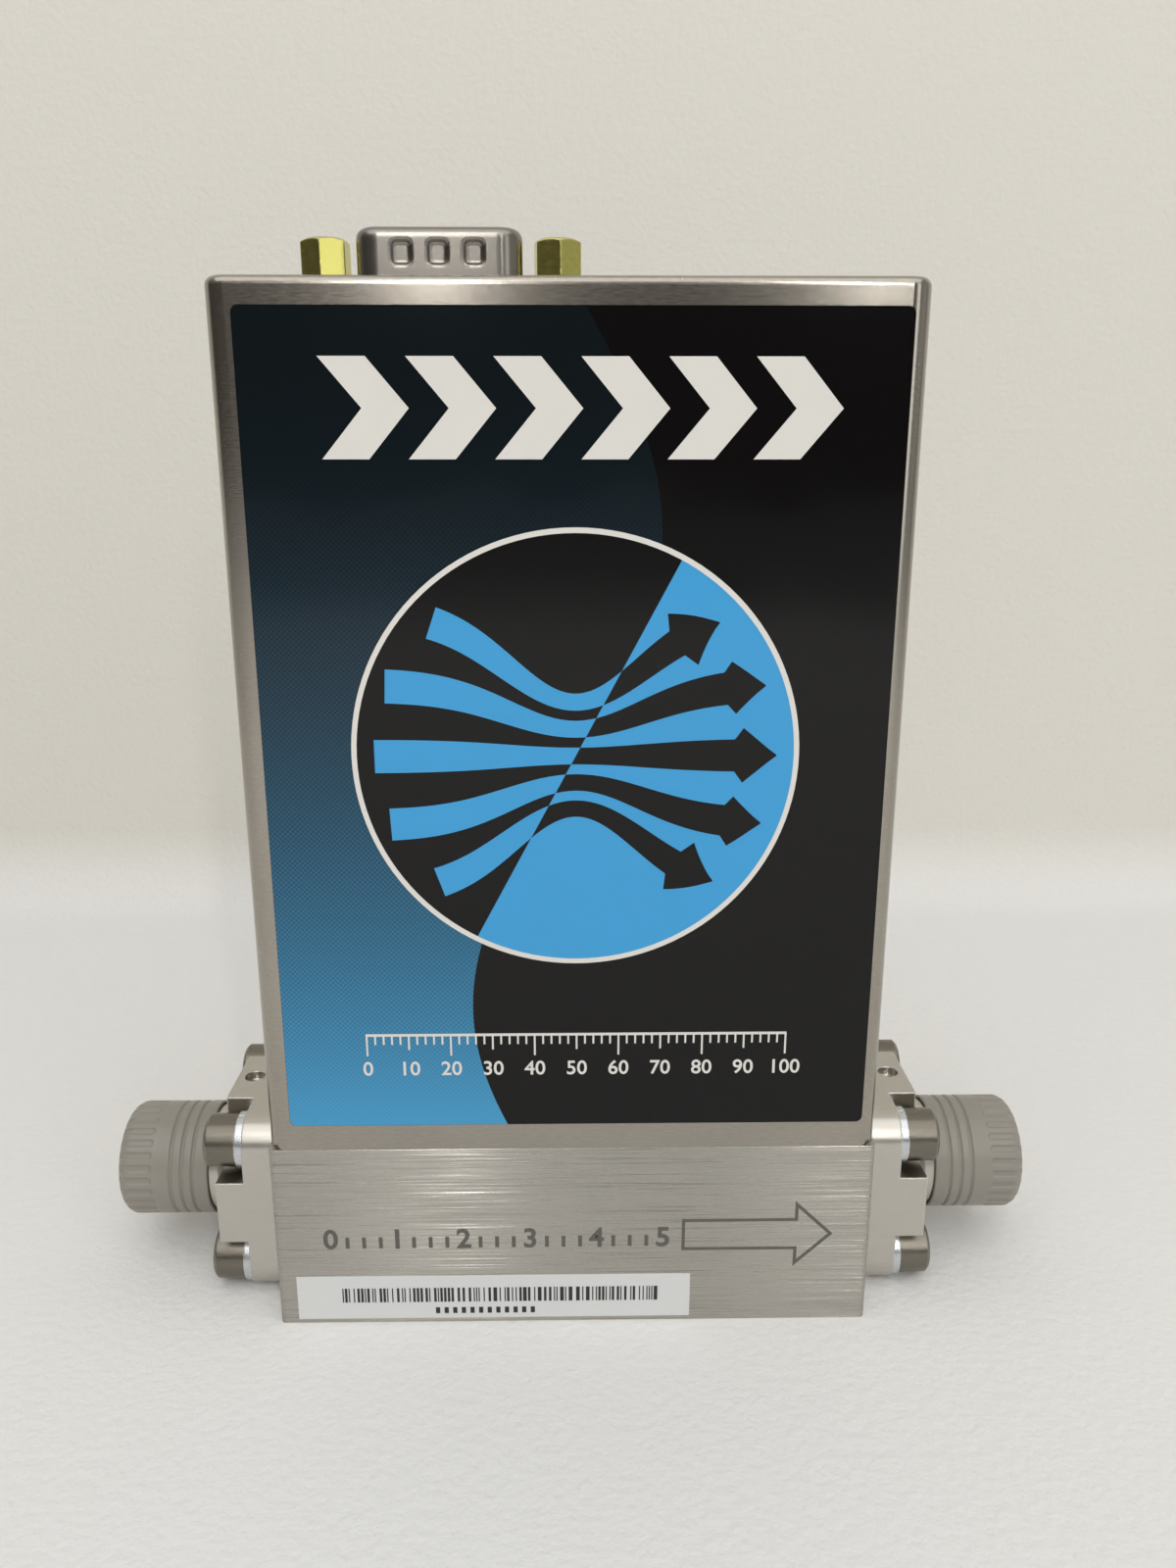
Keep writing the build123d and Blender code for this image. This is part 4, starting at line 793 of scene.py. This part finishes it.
def buildCap(node, body, side):
    form = capForm
    low, high = boxOf(node)
    radius = (high.z - low.z) / 2
    lipX = low.x if side > 0 else high.x
    centreZ = (low.z + high.z) / 2
    around = form["flutes"] * form["stepsPerFlute"]
    flutePitch = 2 * math.pi * radius / form["flutes"]
    rows = []
    for along, reach in capProfile(high.x - low.x, radius):
        row = []
        for i in range(around):
            turn = 2 * math.pi * i / around
            cut = 0.0
            if reach > form["throat"] + form["skinMargin"] and along > form["fluteStart"] - form["fluteLead"]:
                sideways = ((i % form["stepsPerFlute"]) / form["stepsPerFlute"] - 0.5) * flutePitch
                behind = max(form["fluteStart"] + form["fluteWidth"] / 2 - along, 0.0)
                away = math.hypot(behind, sideways) / (form["fluteWidth"] / 2)
                cut = form["fluteDepth"] * (1 - smoothStep((away - form["fluteFlat"]) / form["fluteFade"]))
            size = max(reach - cut, 0.0)
            row.append((lipX + side * along, size * math.cos(turn), centreZ + size * math.sin(turn)))
        rows.append(row)
    piece = gridPiece(node + "Turned", rows, plastic["cap"], body)
    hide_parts(node)


buildCap("inlet_cap", "inlet_thread_cap", -1)
buildCap("outlet_cap", "outlet_thread_cap", 1)
print("caps built")

# connector shell with a rounded rim and pressed dimples, and its hexagon screws
shellForm = {
    "width": 17.6, "depth": 9.1, "slope": 10.0, "corner": 2.5, "cornerSteps": 12, "frontNormal": -0.999,
    "wall": 0.4, "wallSteps": 34, "rim": 1.1, "rimSteps": 8, "lipDrop": 0.5, "lipInset": 0.12,
    "fine": 0.12, "coarse": 0.7, "flangeThickness": 0.8, "flangeCorner": 1.5, "dimplePitch": 3.8, "dimples": 3,
    "dimpleWidth": 2.5, "dimpleLength": 2.8, "dimpleCorner": 0.8, "dimpleHeight": 2.5, "dimpleDepth": 0.45,
    "dimpleSlope": 0.55,
}
jackForm = {
    "spacing": 24.99, "across": 4.75, "crown": 2.05, "crownSlope": 0.55, "bore": 1.15, "boreDepth": 4.0,
    "mouth": 0.25, "shank": 1.4, "holeGap": 0.12, "holeSteps": 32, "turns": (-3.0, 8.0),
    "columns": 96, "crownSteps": 6,
}


def roundedPath(corners, radius, fine, coarse):
    path = []
    steps = shellForm["cornerSteps"]
    for i, corner in enumerate(corners):
        here = Vector(corner)
        back = (Vector(corners[i - 1]) - here).normalized()
        ahead = (Vector(corners[(i + 1) % len(corners)]) - here).normalized()
        half = back.angle(ahead) / 2
        centre = here + (back + ahead).normalized() * radius / math.sin(half)
        first = here + back * radius / math.tan(half) - centre
        sweep = math.pi - 2 * half
        for j in range(steps + 1):
            spoke = Matrix.Rotation(sweep * j / steps, 2) @ first
            path.append((centre + spoke, spoke.normalized()))
    joined = []
    for i, (point, normal) in enumerate(path):
        joined.append((point, normal))
        after = path[(i + 1) % len(path)][0]
        count = math.ceil((after - point).length / (fine if normal.y < shellForm["frontNormal"] else coarse))
        joined += [(point.lerp(after, j / count), normal) for j in range(1, count)]
    return joined


def shellCorners(form):
    slope = math.radians(form["slope"])
    loss = form["corner"] * (math.tan(slope) + 1 / math.cos(slope) - 1)
    front = form["width"] / 2 + loss
    back = front - form["depth"] * math.tan(slope)
    return [(-front, -form["depth"] / 2), (front, -form["depth"] / 2), (back, form["depth"] / 2),
            (-back, form["depth"] / 2)]


def dimpleCut(x, rise):
    form = shellForm
    depth = 0.0
    for i in range(form["dimples"]):
        aside = abs(x - (i - (form["dimples"] - 1) / 2) * form["dimplePitch"]) - form["dimpleWidth"] / 2
        above = abs(rise - form["dimpleHeight"]) - form["dimpleLength"] / 2
        corner = form["dimpleCorner"]
        outside = math.hypot(max(aside + corner, 0.0), max(above + corner, 0.0)) - corner
        depth = max(depth, smoothStep(-outside / form["dimpleSlope"]))
    return depth * form["dimpleDepth"]


def holedPlate(shape, loops, low, high):
    flat = [[Vector((x, y, 0.0)) for x, y in loop] for loop in loops]
    triangles = geometry.tessellate_polygon(flat)
    points = [point for loop in flat for point in loop]
    for level in (low, high):
        verts = [shape.verts.new((point.x * mm, point.y * mm, level * mm)) for point in points]
        for triangle in triangles:
            shape.faces.new([verts[i] for i in triangle])
    for loop in flat:
        rows = [
            [shape.verts.new((point.x * mm, point.y * mm, level * mm)) for point in loop] for level in (low, high)
        ]
        for i in range(len(loop)):
            j = (i + 1) % len(loop)
            shape.faces.new((rows[0][i], rows[0][j], rows[1][j], rows[1][i]))


def buildShell():
    form = shellForm
    low, high = boxOf("connector_shell")
    centre = (low + high) / 2
    caseTop = boxOf("case_cover")[1].z
    outline = roundedPath(shellCorners(form), form["corner"], form["fine"], form["coarse"])
    rim, wall = form["rim"], form["wall"]
    straight = high.z - rim - caseTop
    heights = [low.z, caseTop] + [caseTop + straight * (i + 1) / form["wallSteps"] for i in range(form["wallSteps"])]
    levels = [(z, 0.0) for z in heights]
    levels += [(high.z - rim * (1 - math.sin(a)), rim * (1 - math.cos(a)))
               for a in (math.pi / 2 * (i + 1) / form["rimSteps"] for i in range(form["rimSteps"]))]
    levels += [(high.z - wall * form["lipDrop"], rim + form["lipInset"])]
    levels += [(high.z - rim + (rim - wall) * math.sin(a), rim - (rim - wall) * math.cos(a))
               for a in (math.pi / 2 * (1 - i / form["rimSteps"]) for i in range(form["rimSteps"] + 1))]
    levels += [(z, wall) for z in heights[::-1][1:]]
    rows = []
    for z, inset in levels:
        row = []
        for point, normal in outline:
            cut = dimpleCut(point.x, z - caseTop) if normal.y < form["frontNormal"] else 0.0
            x, y = point - normal * (inset + cut)
            row.append((centre.x + x, centre.y + y, z))
        rows.append(row)
    hole = [(centre.x + p.x - n.x * wall, centre.y + p.y - n.y * wall) for p, n in outline]
    sheet = roundedBox(low.x, low.y, high.x - low.x, high.y - low.y, form["flangeCorner"])
    holes = [arcPoints((centre.x + side * jackForm["spacing"] / 2, centre.y), jackForm["shank"] + jackForm["holeGap"],
                       0, 360, jackForm["holeSteps"])[:-1] for side in (-1, 1)]

    def addFlange(shape):
        holedPlate(shape, [sheet, hole] + holes, low.z, low.z + form["flangeThickness"])

    piece = gridPiece("connectorShellFormed", rows, steel["shell"], more=addFlange)
    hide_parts("connector_shell")


def buildJackscrews():
    form = jackForm
    low, high = boxOf("jackscrews")
    caseTop = boxOf("case_cover")[1].z
    centre = (low + high) / 2
    for side, name, turn in zip((-1, 1), ("jackscrewLeft", "jackscrewRight"), form["turns"]):
        x = centre.x + side * form["spacing"] / 2
        flat = form["across"] / 2
        chamfer = flat / math.cos(math.pi / 6) - form["crown"]
        limits = [form["crown"] + chamfer * i / form["crownSteps"] for i in range(form["crownSteps"] + 1)]
        levels = [(high.z - form["boreDepth"], 0.0), (high.z - form["boreDepth"], form["bore"]),
                  (high.z - form["mouth"], form["bore"]), (high.z, form["bore"] + form["mouth"])]
        levels += [(None, limit) for limit in limits]
        levels += [(caseTop, None), (caseTop, form["shank"]), (low.z, form["shank"]), (low.z, 0.0)]
        rows = []
        for z, limit in levels:
            row = []
            for i in range(form["columns"]):
                angle = 360 * i / form["columns"]
                hexagon = flat / math.cos(math.radians(angle % 60 - 30))
                radius = min(hexagon, limit) if limit is not None else hexagon
                height = high.z - (radius - form["crown"]) * form["crownSlope"] if z is None else z
                way = math.radians(angle - 90 + turn)
                row.append((x + radius * math.cos(way), centre.y + radius * math.sin(way), height))
            rows.append(row)
        gridPiece(name, rows, steel["yellowZinc"], smooth=False)
    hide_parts("jackscrews")


# the valve's spring, copied into a piece of its own on the controller
springGive = {"joint": "plunger_lift", "body": "controller", "lift": 0.0003}


def buildSpring():
    node = nodes["plunger_spring"]
    mesh = node.data.copy()
    mesh.transform(node.matrix_world)
    mesh.materials.clear()
    piece = joinPiece("plungerSpringCoil", mesh, finishOfSlot[slotOf["plunger_spring"]],
                      springGive["body"])
    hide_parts("plunger_spring")
    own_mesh(piece)


buildShell()
buildJackscrews()
buildSpring()
print("connector shell, screws and valve spring built")

# camera, lamps and floor
cameraSet = {
    "place": (0.0, -149.65, 107.9), "pitch": 15.1, "yaw": 0.83, "focalPixels": 1202.0, "longSide": 1600.0,
    "sensor": 36.0, "clipStart": 0.005,
}


def buildCamera():
    data = bpy.data.cameras.new("camera")
    data.sensor_width = cameraSet["sensor"]
    data.lens = cameraSet["focalPixels"] / cameraSet["longSide"] * data.sensor_width
    data.clip_start = cameraSet["clipStart"]
    obj = bpy.data.objects.new("camera", data)
    obj.location = [v * mm for v in cameraSet["place"]]
    obj.rotation_euler = (math.radians(90 - cameraSet["pitch"]), 0.0, -math.radians(cameraSet["yaw"]))
    bpy.context.scene.collection.objects.link(obj)
    bpy.context.scene.camera = obj


def buildLamp(name, place, target, size, watts, color=(1.0, 1.0, 1.0)):
    data = bpy.data.lights.new(name, "AREA")
    data.shape = "RECTANGLE"
    data.size, data.size_y = size
    data.energy = watts
    data.color = color
    obj = bpy.data.objects.new(name, data)
    obj.location = place
    obj.rotation_euler = (Vector(target) - Vector(place)).to_track_quat("-Z", "Y").to_euler()
    bpy.context.scene.collection.objects.link(obj)


lamps = {
    "tubes": ((-0.092, 0.38, 0.28, 0.42), (-0.124, 0.66, 0.5, 1.15), (0.212, 0.47, 0.46, 0.85)),
    "tubeY": -0.73, "tubeWidth": 0.025, "tubeColor": (1.0, 0.985, 0.95), "tubeTarget": (0.0, 0.0, 0.05),
    "window": (0.535, -0.595, 0.26), "windowSize": (0.22, 0.45), "windowWatts": 0.42, "windowTarget": (0.0, 0.0, 0.1),
    "ceiling": (0.0, -0.35, 0.85), "ceilingSize": (1.5, 0.8), "ceilingWatts": 4.05, "ceilingTarget": (0.0, 0.0, 0.0),
    "ceilingColor": (1.0, 0.985, 0.96),
}
room = {
    "floor": (0.79, 0.788, 0.782), "wall": (0.76, 0.742, 0.688), "roughness": 0.75,
    "wallDistance": 0.140, "bend": 0.018, "bendSteps": 8, "halfWidth": 4.0, "front": -4.0, "top": 1.1,
    "foamScale": 700.0, "foamDetail": 4.0, "foamStrength": 0.35, "foamDepth": 0.0008,
    "horizon": (0.075, 0.067, 0.06), "sky": (0.46, 0.46, 0.45), "skyFrom": 0.15, "skyTo": 0.85,
    "side": (0.42, 0.42, 0.40), "sideFrom": 0.55, "sideTo": 0.95, "seen": (0.66, 0.645, 0.60),
}


def buildRoom():
    mesh = bpy.data.meshes.new("roomSweep")
    shape = bmesh.new()
    bendStart = room["wallDistance"] - room["bend"]
    profile = [(room["front"], 0.0), (bendStart, 0.0)]
    for i in range(1, room["bendSteps"] + 1):
        turn = math.radians(90 * i / room["bendSteps"])
        profile.append((bendStart + room["bend"] * math.sin(turn), room["bend"] * (1 - math.cos(turn))))
    profile.append((room["wallDistance"], room["top"]))
    rows = [[shape.verts.new((x, y, z)) for y, z in profile] for x in (-room["halfWidth"], room["halfWidth"])]
    for i in range(len(profile) - 1):
        shape.faces.new((rows[0][i], rows[1][i], rows[1][i + 1], rows[0][i + 1])).smooth = True
    shape.to_mesh(mesh)
    shape.free()
    obj = bpy.data.objects.new("roomSweep", mesh)
    bpy.context.scene.collection.objects.link(obj)
    material, tree, shader = newMaterial("roomPaint", None, room["roughness"], 0.0)
    place = addNode(tree, "ShaderNodeTexCoord")
    rise = mapRange(tree, splitAxes(tree, place.outputs["Object"])[2], 0.0, room["bend"], 0.0, 1.0)
    feed(tree, shader.inputs["Base Color"], mixColor(tree, rise, room["floor"], room["wall"]))
    foam = noiseNode(tree, place.outputs["Object"], room["foamScale"], room["foamDetail"])
    feed(tree, shader.inputs["Normal"], bumpFrom(tree, foam, room["foamStrength"], room["foamDepth"]))
    # a camera behind the wall looks through it
    ray = addNode(tree, "ShaderNodeLightPath").outputs["Is Camera Ray"]
    behind = addNode(tree, "ShaderNodeNewGeometry").outputs["Backfacing"]
    split = addNode(tree, "ShaderNodeMixShader")
    feed(tree, split.inputs[0], mathNode(tree, "MULTIPLY", ray, behind))
    tree.links.new(shader.outputs[0], split.inputs[1])
    tree.links.new(addNode(tree, "ShaderNodeBsdfTransparent").outputs[0], split.inputs[2])
    tree.links.new(split.outputs[0], tree.nodes["Material Output"].inputs[0])
    mesh.materials.append(material)


def buildWorld():
    world = bpy.data.worlds.new("world")
    world.use_nodes = True
    tree = world.node_tree
    way = splitAxes(tree, addNode(tree, "ShaderNodeTexCoord").outputs["Generated"])
    rise = mapRange(tree, way[2], room["skyFrom"], room["skyTo"], 0.0, 1.0)
    # the right side of the room is lighter
    turned = mapRange(tree, way[0], room["sideFrom"], room["sideTo"], 0.0, 1.0)
    aside = mixColor(tree, turned, room["horizon"], room["side"])
    # seen directly, the room goes on as pale as the wall
    ray = addNode(tree, "ShaderNodeLightPath").outputs["Is Camera Ray"]
    lit = mixColor(tree, rise, aside, room["sky"])
    feed(tree, tree.nodes["Background"].inputs[0], mixColor(tree, ray, lit, room["seen"]))
    bpy.context.scene.world = world


buildCamera()
buildRoom()
buildWorld()
buildLamp("ceilingLamp", lamps["ceiling"], lamps["ceilingTarget"], lamps["ceilingSize"], lamps["ceilingWatts"],
          lamps["ceilingColor"])
for index, (x, z, length, watts) in enumerate(lamps["tubes"]):
    buildLamp("tubeLamp" + str(index), (x, lamps["tubeY"], z), lamps["tubeTarget"], (lamps["tubeWidth"], length),
              watts, lamps["tubeColor"])
buildLamp("windowLamp", lamps["window"], lamps["windowTarget"], lamps["windowSize"], lamps["windowWatts"])
bpy.context.scene.view_settings.view_transform = "Standard"
print("camera, lamps and floor built")
